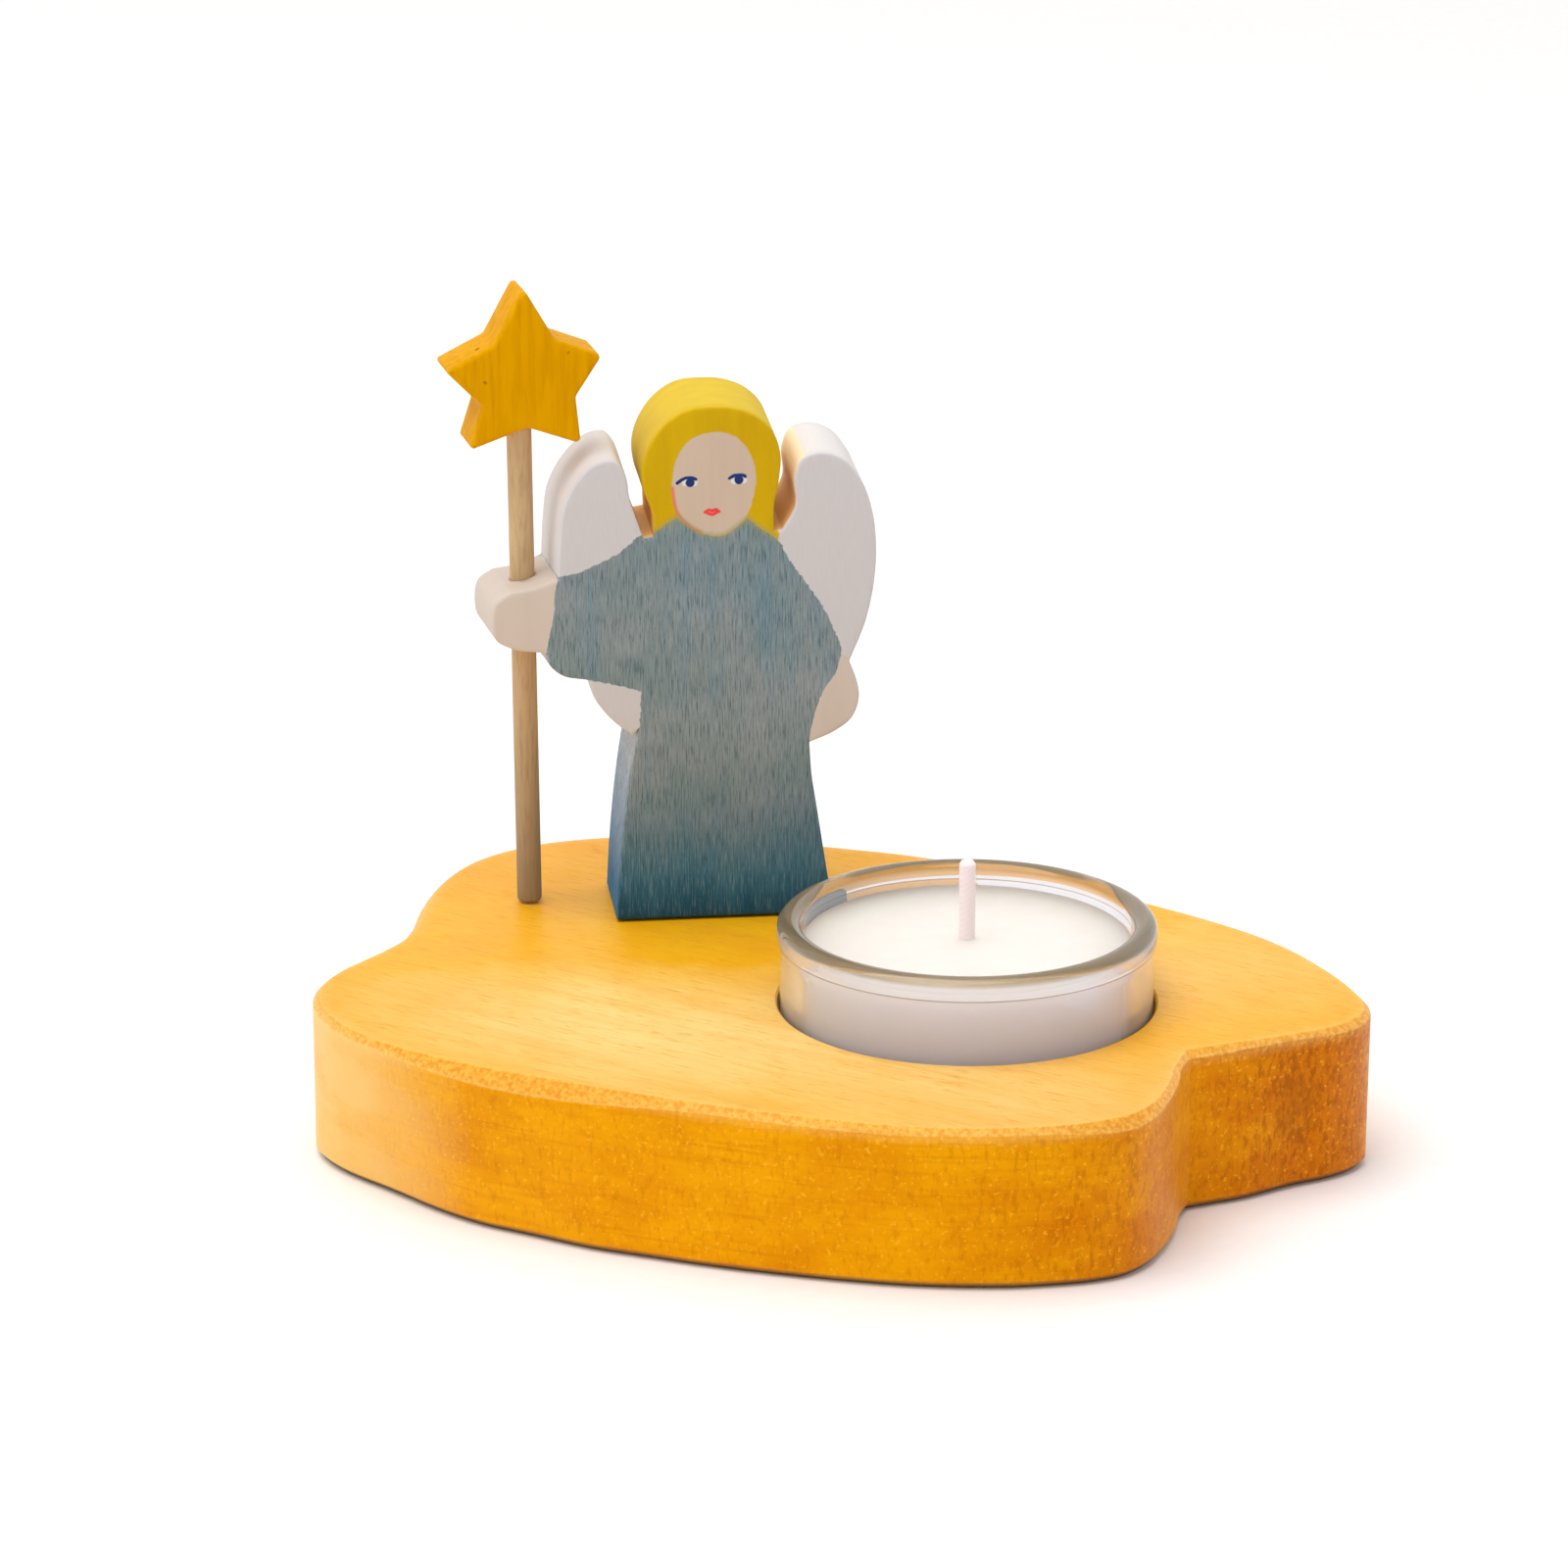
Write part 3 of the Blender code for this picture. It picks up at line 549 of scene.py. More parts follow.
def add(tree, kind, inputs=None, output=0, **settings):
    """Add a node with its settings and links, and give the output asked for.

    Six hex digits are a colour. A mix blends colours: the share goes to socket 0, the colours to 6 and 7.
    A map range goes from sockets 1 and 2 to sockets 3 and 4.
    """
    node = tree.nodes.new(kind)
    if kind == "ShaderNodeMix":
        node.data_type = "RGBA"
        output = 2
    for name, value in settings.items():
        setattr(node, name, value)
    for socket, value in (inputs or {}).items():
        if isinstance(value, bpy.types.NodeSocket):
            tree.links.new(value, node.inputs[socket])
        else:
            node.inputs[socket].default_value = opaque(linear(value)) if isinstance(value, str) else value
    return node.outputs[output]


def layered(tree, base, layers, **ramp):
    """Lay colours over a base: each comes in as its pattern goes from one value to another, up to a share."""
    for pattern, start, end, most, paint in layers:
        share = add(tree, "ShaderNodeMapRange", {"Value": pattern, 1: start, 2: end, 4: most}, **ramp)
        base = add(tree, "ShaderNodeMix", {0: share, 6: base, 7: paint})
    return base


def zone_values(tree, names):
    """The numbers stored on the mesh, by name."""
    return {name: add(tree, "ShaderNodeAttribute", output="Fac", attribute_name=name) for name in names}


def new_material(name, **constants):
    """A material's node tree and its shader, with the shader's constant sockets set."""
    material = bpy.data.materials.new(name)
    material.use_nodes = True
    shader = material.node_tree.nodes["Principled BSDF"]
    for socket, value in constants.items():
        shader.inputs[socket.replace("_", " ")].default_value = value
    return material, material.node_tree, shader


def connect(tree, shader, base, rough=None, normal=None):
    """Link the shader's colour, and its roughness and normal where they vary."""
    for socket, value in (("Base Color", base), ("Roughness", rough), ("Normal", normal)):
        if value is not None:
            tree.links.new(value, shader.inputs[socket])


def opaque(colour_value, share=1.0):
    """A colour with full opacity, made darker by a share."""
    return tuple(c * share for c in colour_value) + (1.0,)


def finish(piece, material):
    """Give a piece its material and its place in the part."""
    piece.data.materials.clear()
    piece.data.materials.append(material)
    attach(piece, "root")


def stained_wood(colours):
    """Amber-stained beech board, sanded and oiled.

    The stain glows yellow-orange, paler where a sheen of the bright room is painted onto the top, and deeper
    where it soaked in and where shade is painted on the right lobe's wall. Short brown pores run along the
    grain on the top, the sawn walls are stroked and cloudy, with painted glints and a left end painted paler,
    partly as light, and the foot's edge is painted dark as the shade under the board. The sanded chamfer is
    mottled, and its crests are worn pale. The oil's sheen takes the stain's colour.
    """
    material, tree, shader = new_material(
        "amber_stained_oiled_beech", Specular_IOR_Level=0.35, Specular_Tint=opaque(linear("FFC43A")))
    spot = add(tree, "ShaderNodeTexCoord", output="Object")
    mm = add(tree, "ShaderNodeMapping", {
        "Vector": spot, "Location": tuple(-GLASS_AXIS / MM), "Scale": (1 / MM,) * 3})
    along = add(tree, "ShaderNodeMapping", {"Vector": mm, "Rotation": (0, 0, GRAIN_TURN)})
    zones = zone_values(tree, ("wall", "edge", "crest", "painted_sheen", "pale", "dark", "smear", "foot"))
    specks = add(tree, "ShaderNodeTexNoise", {"Vector": mm, "Scale": 1.9, "Detail": 2.0, "Roughness": 0.6})

    # The top: clouds 10 to 20 mm across, paler where a sheen of the bright room is painted on, deeper towards
    # the rim. Growth lines run along the grain, about 2 mm apart, and pores 0.3 mm wide and 3 mm long.
    clouds = add(tree, "ShaderNodeTexNoise", {
        "Vector": along, "Scale": 0.08, "Detail": 4.0, "Roughness": 0.6})
    # Painted sheen, broken up by the clouds
    sheen_share = add(tree, "ShaderNodeMath", {0: clouds, 1: -0.5, 2: zones["painted_sheen"]}, operation="MULTIPLY_ADD")
    centred = add(tree, "ShaderNodeMapping", {"Vector": spot, "Scale": (1 / MM, 1.2 / MM, 0)})
    from_middle = add(tree, "ShaderNodeVectorMath", {0: centred}, output="Value", operation="LENGTH")
    rings = add(tree, "ShaderNodeMapping", {"Vector": along, "Scale": (0.025, 0.6, 0.6)})
    lines = add(tree, "ShaderNodeTexNoise", {"Vector": rings, "Scale": 1.0, "Detail": 3.0, "Distortion": 0.4})
    pore_scale = add(tree, "ShaderNodeMapping", {"Vector": along, "Scale": (0.42, 3.0, 3.0)})
    pores = add(tree, "ShaderNodeTexNoise", {"Vector": pore_scale, "Scale": 1.0, "Detail": 2.0})
    top = layered(tree, opaque(colours.stain), (
        (clouds, 0.4, 0.7, 0.7, "F0A608"),
        # painted sheen: the reflection of the bright room, painted pale yellow
        (sheen_share, -0.22, 0.62, 1.0, "FBD483"),
        (from_middle, 30.0, 64.0, 0.4, "E8952A"),
        (lines, 0.45, 0.72, 0.35, "EE9E1C"),
        (pores, 0.56, 0.76, 0.6, "D48C2A"),
    ))

    # Sawn walls: deep clouds, level saw lines, upright strokes 1 mm tall, strong only where the wall is dark,
    # speckles of 0.4 mm painted as glints, a pale end that is partly painted light, and a smear
    level = add(tree, "ShaderNodeMapping", {"Vector": mm, "Scale": (0.06, 0.06, 0.12)})
    wall_clouds = add(tree, "ShaderNodeTexNoise", {
        "Vector": level, "Scale": 1.0, "Detail": 4.0, "Roughness": 0.6})
    # Deeper stain where the wall is dark, partly painted shade on the right lobe
    deeper = add(tree, "ShaderNodeMath", {
        0: zones["dark"], 1: 0.45, 2: wall_clouds}, operation="MULTIPLY_ADD")
    streak_scale = add(tree, "ShaderNodeMapping", {"Vector": mm, "Scale": (0.08, 0.08, 1.8)})
    streaks = add(tree, "ShaderNodeTexNoise", {
        "Vector": streak_scale, "Scale": 1.0, "Detail": 4.0, "Distortion": 0.6})
    stroke_scale = add(tree, "ShaderNodeMapping", {"Vector": mm, "Scale": (1.5, 1.5, 0.6)})
    strokes = add(tree, "ShaderNodeTexNoise", {
        "Vector": stroke_scale, "Scale": 1.0, "Detail": 3.0, "Roughness": 0.65})
    stroke_mark = add(tree, "ShaderNodeMath", {
        0: zones["dark"], 1: 0.07, 2: strokes}, operation="MULTIPLY_ADD")
    stroke_depth = add(tree, "ShaderNodeMath", {
        0: zones["dark"], 1: 0.55, 2: 0.25}, operation="MULTIPLY_ADD")
    # Paler left end, partly painted light
    paler = add(tree, "ShaderNodeMath", {0: wall_clouds, 1: zones["pale"]}, operation="MULTIPLY")
    smear_edge = add(tree, "ShaderNodeMath", {
        0: strokes, 1: 3.4, 2: zones["smear"]}, operation="MULTIPLY_ADD")
    walls = layered(tree, "F0A200", (
        (deeper, 0.46, 0.85, 1.0, opaque(colours.stain_deep)),
        (streaks, 0.52, 0.75, 0.4, "CF7400"),
        (stroke_mark, 0.52, 0.68, stroke_depth, "B05400"),
        # painted glints: bright speckles
        (specks, 0.42, 0.28, 0.6, "FFBC28"),
        (paler, 0.06, 0.45, 0.85, "F9CB78"),
        (smear_edge, 1.75, 2.6, 0.6, "A85604"),
    ))
    sides = add(tree, "ShaderNodeMix", {0: zones["wall"], 6: top, 7: walls})

    # The chamfer shows end grain: a mottled orange
    mottled = layered(tree, "F0AC40", ((specks, 0.4, 0.62, 1.0, "D98722"),))
    faces = layered(tree, sides, ((zones["edge"], 0.0, 1.0, 0.8, mottled),))

    # Worn crests, broken up by specks, and the foot's edge, painted dark as the shade under the board
    wear = add(tree, "ShaderNodeMapRange", {"Value": specks, 1: 0.38, 2: 0.58, 3: 0.65, 4: 0.35})
    worn = layered(tree, faces, ((zones["crest"], 0.0, 1.0, wear, "FFD07C"),))
    # Painted shade under the board, on the foot's edge
    foot_shaded = add(tree, "ShaderNodeMix", {0: zones["foot"], 6: worn, 7: "6E5A34"})
    rough = add(tree, "ShaderNodeMapRange", {"Value": pores, 1: 0.3, 2: 0.8, 3: 0.36, 4: 0.55})
    bump = add(tree, "ShaderNodeBump", {"Height": specks, "Distance": 0.05 * MM, "Strength": 0.5})
    grain_bump = add(tree, "ShaderNodeBump", {
        "Height": pores, "Distance": 0.05 * MM, "Strength": 0.5, "Normal": bump})
    connect(tree, shader, foot_shaded, rough, grain_bump)
    return material


def painted_figure(colours):
    """Maple brushed thinly with water paint: matt, with the upright grain showing through each colour.

    The stored numbers are distances in millimetres to each painted zone's line, positive inside.
    A little noise on them gives each line a brushed edge.
    """
    material, tree, shader = new_material("water_painted_maple", Specular_IOR_Level=0.12)
    spot = add(tree, "ShaderNodeTexCoord", output="Object")
    mm = add(tree, "ShaderNodeMapping", {
        "Vector": spot, "Location": tuple(-figure_origin() / MM), "Scale": (1 / MM,) * 3})
    height = add(tree, "ShaderNodeSeparateXYZ", {"Vector": mm}, output="Z")
    zones = zone_values(tree, (
        "robe", "side", "blue", "neck", "hair", "face", "hands", "bare", "blush", "lids", "iris", "whites",
        "lips"))

    # Upright pores 0.2 mm wide and 3 mm long, broader streaks, and the ragged edge of a brush
    fine_scale = add(tree, "ShaderNodeMapping", {"Vector": mm, "Scale": (6.2, 6.2, 0.36)})
    fine = add(tree, "ShaderNodeTexNoise", {
        "Vector": fine_scale, "Scale": 1.0, "Detail": 4.0, "Roughness": 0.7})
    broad_scale = add(tree, "ShaderNodeMapping", {"Vector": mm, "Scale": (0.42, 0.42, 0.045)})
    broad = add(tree, "ShaderNodeTexNoise", {
        "Vector": broad_scale, "Scale": 1.0, "Detail": 4.0, "Roughness": 0.6})
    ragged = add(tree, "ShaderNodeTexNoise", {"Vector": mm, "Scale": 1.6, "Detail": 2.0})
    edge = add(tree, "ShaderNodeMapRange", {"Value": ragged, 1: 0.3, 2: 0.7, 3: -0.12, 4: 0.12})

    # Wings and hair, with faint upright grain, both paler on the sawn sides, which is painted light, and
    # skin, paler on the hands
    # Painted light: the sawn sides painted paler than the front
    white = layered(tree, opaque(colours.wings), (
        (fine, 0.35, 0.75, 0.5, "C4BFBF"), (zones["side"], 0.0, 1.0, 0.6, "E9E2DC")))
    hair = layered(tree, opaque(colours.hair), (
        (broad, 0.35, 0.7, 0.8, "C69C00"), (zones["side"], 0.0, 1.0, 0.4, "E4CE50")))
    skin = layered(tree, opaque(colours.skin), ((broad, 0.4, 0.7, 1.0, "C9B39F"),))
    pale_skin = add(tree, "ShaderNodeMix", {0: 0.5, 6: skin, 7: "D3CBC4"})

    # Robe: a grey-green wash, patchy, with blue streaks, deep blue at the hem, and pale on the sawn sides,
    # which is painted light.
    # The pores are dark, and the wood between them shows pale.
    patch = add(tree, "ShaderNodeTexNoise", {"Vector": mm, "Scale": 0.09, "Detail": 3.0})
    bluer = add(tree, "ShaderNodeMath", {0: zones["blue"], 1: 0.2, 2: broad}, operation="MULTIPLY_ADD")
    rise = add(tree, "ShaderNodeMath", {0: broad, 1: 9.0, 2: height}, operation="MULTIPLY_ADD")
    wash = layered(tree, opaque(colours.robe), (
        (patch, 0.4, 0.66, 1.0, "8F979A"), (bluer, 0.5, 0.78, 0.55, opaque(colours.robe_blue))))
    hemmed = layered(tree, wash, (
        (rise, 25.0, 6.0, 1.0, "33708E"), (rise, 11.5, 3.0, 1.0, opaque(colours.hem)),
    ), interpolation_type="SMOOTHSTEP")
    # Painted light on the sawn sides: pale above, the hem's blue below
    side_wash = layered(tree, "2478AC", ((height, 3.0, 27.0, 1.0, "D2D2D0"),))
    washed = add(tree, "ShaderNodeMix", {0: zones["side"], 6: hemmed, 7: side_wash})
    pale = add(tree, "ShaderNodeMix", {0: 0.5, 6: "BCC6C4", 7: washed})
    robe = layered(tree, washed, ((fine, 0.5, 0.64, 0.7, "344E5A"), (fine, 0.48, 0.34, 0.42, pale)))

    # Bare sawn wood between head and wings, browner and darker towards the bottom of the notch, which is
    # painted shade
    # Painted shade: darker towards the notch's bottom
    bare = layered(tree, "F6E0BC", ((height, 57.0, 51.0, 1.0, opaque(colours.bare_wood)),))

    # The paints over the white, each with how ragged its edge is. The blush and the line at the neck come
    # between the robe and the hands.
    paints = (
        ("hair", hair, 1.0), ("face", skin, 0.5), ("robe", robe, 1.0), ("hands", pale_skin, 0.6),
        ("bare", bare, 0.0), ("whites", "DDDCDC", 0.0), ("iris", "22356E", 0.2),
        ("lids", opaque(colours.eyes), 0.3), ("lips", opaque(colours.lips), 0.5),
    )
    painted = white
    for name, paint, raggedness in paints:
        moved = add(tree, "ShaderNodeMath", {
            0: edge, 1: raggedness, 2: zones[name]}, operation="MULTIPLY_ADD")
        painted = layered(tree, painted, ((moved, -0.06, 0.06, 1.0, paint),))
        if name == "robe":
            painted = layered(tree, painted, (
                (zones["blush"], -0.15, 0.12, 0.8, "E06A62"), (zones["neck"], -0.3, 0.2, 0.55, "9C9A5A")))
    rough = add(tree, "ShaderNodeMapRange", {"Value": fine, 1: 0.3, 2: 0.7, 3: 0.6, 4: 0.78})
    bump = add(tree, "ShaderNodeBump", {"Height": fine, "Distance": 0.06 * MM, "Strength": 0.45})
    connect(tree, shader, painted, rough, bump)
    return material


def painted_star(colours):
    """Maple painted a warm yellow: satin, with faint upright grain and a few dark specks."""
    material, tree, shader = new_material(
        "satin_painted_maple", Specular_IOR_Level=0.05, Specular_Tint=opaque(linear("FFC43A")))
    spot = add(tree, "ShaderNodeTexCoord", output="Object")
    upright = add(tree, "ShaderNodeMapping", {"Vector": spot, "Scale": (1.2 / MM, 1.2 / MM, 0.12 / MM)})
    grain = add(tree, "ShaderNodeTexNoise", {
        "Vector": upright, "Scale": 1.0, "Detail": 4.0, "Roughness": 0.6})
    specks = add(tree, "ShaderNodeTexNoise", {"Vector": spot, "Scale": 0.55 / MM, "Detail": 1.0})
    yellow = layered(tree, opaque(colours.star), (
        (grain, 0.42, 0.72, 0.6, "C48003"), (specks, 0.76, 0.8, 0.7, "7A4A08")))
    rough = add(tree, "ShaderNodeMapRange", {"Value": grain, 1: 0.3, 2: 0.7, 3: 0.45, 4: 0.6})
    bump = add(tree, "ShaderNodeBump", {"Height": grain, "Distance": 0.05 * MM, "Strength": 0.4})
    connect(tree, shader, yellow, rough, bump)
    return material


def plain_beech(colours):
    """Untreated beech dowel: pale, dry, with short dark rays along it, and greyer towards the foot."""
    material, tree, shader = new_material("untreated_beech_dowel", Specular_IOR_Level=0.3)
    spot = add(tree, "ShaderNodeTexCoord", output="Object")
    mm = add(tree, "ShaderNodeMapping", {
        "Vector": spot, "Location": (0, 0, -BOARD_HIGH.z / MM), "Scale": (1 / MM,) * 3})
    height = add(tree, "ShaderNodeSeparateXYZ", {"Vector": mm}, output="Z")
    upright = add(tree, "ShaderNodeMapping", {"Vector": mm, "Scale": (2.6, 2.6, 0.16)})
    grain = add(tree, "ShaderNodeTexNoise", {
        "Vector": upright, "Scale": 1.0, "Detail": 3.0, "Roughness": 0.65})
    beech = layered(tree, opaque(colours.dowel), (
        (grain, 0.45, 0.72, 0.6, "A17C52"), (height, 30.0, 0.0, 0.75, "7E7664")))
    rough = add(tree, "ShaderNodeMapRange", {"Value": grain, 1: 0.3, 2: 0.7, 3: 0.55, 4: 0.75})
    bump = add(tree, "ShaderNodeBump", {"Height": grain, "Distance": 0.08 * MM, "Strength": 0.5})
    connect(tree, shader, beech, rough, bump)
    return material


def pressed_glass(colours):
    """Soda-lime glass pressed in a mould: clear and slightly wavy, with a fine seam. A brownish rim and a
    dark line along the seam are painted reflections of what the thick glass bends and mirrors.
    """
    material, tree, shader = new_material(
        "pressed_soda_lime_glass", Roughness=0.0, IOR=1.5, Transmission_Weight=0.77)
    spot = add(tree, "ShaderNodeTexCoord", output="Object")
    zones = zone_values(tree, ("seam", "rim"))
    # Painted reflection: the rim tinted brownish
    rimmed = add(tree, "ShaderNodeMix", {0: zones["rim"], 6: opaque(colours.glass), 7: "C4AC80"})
    # Painted reflection: a dark line along the mould's seam
    lined = add(tree, "ShaderNodeMix", {0: zones["seam"], 6: rimmed, 7: "5E4A34"})
    waves = add(tree, "ShaderNodeTexNoise", {"Vector": spot, "Scale": 0.12 / MM, "Detail": 1.0})
    bump = add(tree, "ShaderNodeBump", {"Height": waves, "Distance": 0.1 * MM, "Strength": 0.15})
    connect(tree, shader, lined, normal=bump)
    return material


def cast_wax(colours):
    """White paraffin wax, cast: soft inner glow, waxy sheen, a faintly mottled top and paler lilac-white
    sides, which is painted light for what comes in through the glass.
    """
    material, tree, shader = new_material(
        "cast_paraffin_wax", Roughness=0.42, IOR=1.44, Subsurface_Weight=1.0,
        Subsurface_Radius=(1.0, 1.0, 1.2), Subsurface_Scale=16.0 * MM)
    spot = add(tree, "ShaderNodeTexCoord", output="Object")
    mottle = add(tree, "ShaderNodeTexNoise", {"Vector": spot, "Scale": 0.35 / MM, "Detail": 3.0})
    top = layered(tree, opaque(colours.wax), ((mottle, 0.4, 0.7, 0.5, "EEE2D8"),))
    height = add(tree, "ShaderNodeSeparateXYZ", {"Vector": spot}, output="Z")
    # Painted light: the sides, seen through the glass, are painted paler than the top
    white = layered(tree, "FCF2FC", ((height, WAX_HIGH.z - 1.4 * MM, WAX_HIGH.z - 0.7 * MM, 1.0, top),))
    bump = add(tree, "ShaderNodeBump", {"Height": mottle, "Distance": 0.08 * MM, "Strength": 0.3})
    connect(tree, shader, white, normal=bump)
    return material


def waxed_cotton(colours):
    """Braided cotton soaked in wax: pale pink, with a fine slanting braid."""
    material, tree, shader = new_material(
        "waxed_cotton_braid", Roughness=0.6, Subsurface_Weight=0.3, Subsurface_Radius=(1.0, 0.7, 0.6),
        Subsurface_Scale=0.8 * MM)
    spot = add(tree, "ShaderNodeTexCoord", output="Object")
    slanted = add(tree, "ShaderNodeMapping", {
        "Vector": spot, "Scale": (1 / MM,) * 3, "Rotation": (0, math.radians(35), 0)})
    braid = add(tree, "ShaderNodeTexWave", {"Vector": slanted, "Scale": 0.55, "Distortion": 1.0},
                bands_direction="Z")
    pink = add(tree, "ShaderNodeMix", {0: braid, 6: opaque(colours.wick), 7: opaque(colours.wick, 0.96)})
    bump = add(tree, "ShaderNodeBump", {"Height": braid, "Distance": 0.05 * MM, "Strength": 0.2})
    connect(tree, shader, pink, normal=bump)
    return material


def tinned_sheet():
    """Stamped tinplate: bright grey metal, slightly brushed by the tool."""
    material, tree, shader = new_material("stamped_tinplate", Metallic=1.0)
    spot = add(tree, "ShaderNodeTexCoord", output="Object")
    marks = add(tree, "ShaderNodeTexNoise", {"Vector": spot, "Scale": 1.5 / MM, "Detail": 2.0})
    rough = add(tree, "ShaderNodeMapRange", {"Value": marks, 1: 0.3, 2: 0.7, 3: 0.22, 4: 0.38})
    shader.inputs["Base Color"].default_value = opaque(linear("D2D2CE"))
    tree.links.new(rough, shader.inputs["Roughness"])
    return material


def paper_sweep():
    """White background paper: matt and even."""
    material, tree, shader = new_material("white_paper", Roughness=0.9, Specular_IOR_Level=0.1)
    spot = add(tree, "ShaderNodeTexCoord", output="Object")
    fibres = add(tree, "ShaderNodeTexNoise", {"Vector": spot, "Scale": 0.5 / MM, "Detail": 2.0})
    connect(tree, shader, layered(tree, "F8F6F5", ((fibres, 0.3, 0.7, 1.0, "F6F4F3"),)))
    return material


def bumps_at(points, places):
    """Sum of smooth round bumps at each point: depth times the square of one less the squared distance."""
    total = np.zeros(len(points))
    for x, y, reach, depth in places:
        away = np.linalg.norm(points - (x, y), axis=1) / reach
        total += depth * MM * np.clip(1 - away**2, 0, 1) ** 2
    return total


def edge_profile(chamfer, crest, steps=3):
    """Pairs (inset, drop) over a chamfered edge from the wall to the top, both crests rounded.

    The two crests are small arcs of an eighth turn that touch the chamfer and its neighbours.
    """
    reach = crest * math.tan(math.radians(22.5))
    turn = np.radians(np.linspace(0, 45, steps + 1))
    low = [(crest * (1 - math.cos(a)), chamfer + reach - crest * math.sin(a)) for a in turn]
    high = [(chamfer + reach - crest * math.sin(a), crest * (1 - math.cos(a))) for a in turn[::-1]]
    return low, high


def figure_origin():
    """Where the figure's axis meets its foot, on its front: from its box and its drawn outline."""
    curve = drawn_outline(FIGURE_RUNS, FIGURE_STEP)
    share = curve[:, 0].max() / (curve[:, 0].max() - curve[:, 0].min())
    return Vector((FIGURE_HIGH.x - share * FIGURE_WIDTH, FIGURE_LOW.y, FIGURE_LOW.z))


class HOLDER_OT_board(bpy.types.Operator):
    """Build the lobed board: sanded chamfer, sawn wall and the recess for the glass"""

    bl_idname = "holder.board"
    bl_label = "Board"

    def execute(self, context):
        sizes = context.scene.holder_sizes
        drawn = drawn_outline((BOARD_LEFT_AND_BACK, BOARD_RIGHT_LOBE), BOARD_STEP)
        low, high = drawn.min(axis=0), drawn.max(axis=0)
        box_low, box_high = np.array(BOARD_LOW), np.array(BOARD_HIGH)
        outline = (drawn - low) / (high - low) * (box_high - box_low)[:2] + box_low[:2]
        thickness = box_high[2] - box_low[2]
        lean = bumps_at(drawn, UNDERCUTS)
        widen = 1 + bumps_at(drawn, CHAMFER_CHANGES) / MM
        low_arc, high_arc = edge_profile(sizes.top_chamfer, sizes.crest_round)
        foot = BOARD_FOOT_CHAMFER
        highest = thickness - 1.05 * low_arc[0][1] * widen.max()
        wall_levels = np.linspace(foot, highest, WALL_RINGS)
        levels = [(foot, np.zeros(1))] + [(0.0, np.array([level])) for level in wall_levels]
        rings = []
        for distance, level in levels:
            flat = inset(outline, distance + lean * (1 - level / thickness))
            rings.append(np.column_stack([flat, np.full(len(flat), level)]))
        for distance, drop in low_arc + high_arc:
            level = thickness - drop * widen
            flat = inset(outline, distance * widen + lean * (1 - level / thickness))
            rings.append(np.column_stack([flat, level]))
        rings = np.array(rings) + [0, 0, box_low[2]]

        recess_radius = (GLASS_HIGH.x - GLASS_LOW.x) / 2 - GLASS_BEAD + RECESS_CLEARANCE
        angles = 2 * math.pi * np.arange(ROUND_SIDES) / ROUND_SIDES
        around = np.stack([np.cos(angles), np.sin(angles)], 1)
        hole_edge = 0.25 * MM
        hole = around * (recess_radius + hole_edge) + np.array(GLASS_AXIS)[:2]
        top_points, top_faces = cap(rings[-1][:, :2], TOP_STEP, holes=[hole])
        top = np.column_stack([top_points, np.full(len(top_points), box_high[2])])
        under_points, under_faces = cap(rings[0][:, :2], UNDER_STEP)
        under = np.column_stack([under_points, np.full(len(under_points), box_low[2])])
        recess = turned(
            [(recess_radius + hole_edge, 0), (recess_radius, -hole_edge), (recess_radius, -RECESS_DEPTH / 2),
             (recess_radius, -RECESS_DEPTH), (recess_radius / 2, -RECESS_DEPTH), (0, -RECESS_DEPTH)],
            ROUND_SIDES, (GLASS_AXIS.x, GLASS_AXIS.y, BOARD_HIGH.z))
        board = make_piece("board", [band(rings), (top, top_faces), (under, under_faces), recess])

        # The zones that the stain reads, each fading over a few tenths of a millimetre
        places = positions(board)
        from_edge = signed_distance(places[:, :2], outline) / MM
        from_top = (box_high[2] - places[:, 2]) / MM
        flat = (places - np.array(GLASS_AXIS))[:, :2] / MM
        chamfer = sizes.top_chamfer / MM * (1 + bumps_at(flat, CHAMFER_CHANGES) / MM)
        store(board, "wall", np.clip((from_top - 0.2) / 0.3, 0, 1))
        crests = np.minimum(np.abs(from_top - chamfer), np.abs(from_top) + np.abs(from_edge - chamfer))
        store(board, "crest", np.clip(1 - crests / 0.22, 0, 1) * (from_edge < 3 * chamfer))
        store(board, "edge", np.clip((chamfer + 0.12 - np.maximum(from_top, from_edge)) / 0.2, 0, 1))
        # Painted sheen: where the top is painted paler, as the reflection of the bright room
        store(board, "painted_sheen", bumps_at(flat, PAINTED_SHEEN) / MM)
        # Paler wall: partly stain, partly painted light on the left end
        store(board, "pale", bumps_at(flat, PALE_WALL) / MM)
        # Darker wall: deeper stain and painted shade on the right lobe
        store(board, "dark", bumps_at(flat, DARK_WALL) / MM)
        from_smear = np.column_stack([flat, (places[:, 2] - box_low[2]) / MM]) - SMEAR
        store(board, "smear", 1 - np.linalg.norm(from_smear / SMEAR_REACH, axis=1))
        # Painted shade: the foot's edge, painted dark as the shade under the board
        store(board, "foot", np.clip((BOARD_FOOT_CHAMFER - (places[:, 2] - box_low[2])) / (0.2 * MM), 0, 1))
        finish(board, stained_wood(context.scene.holder_colours))
        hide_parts("base_board")
        return {"FINISHED"}


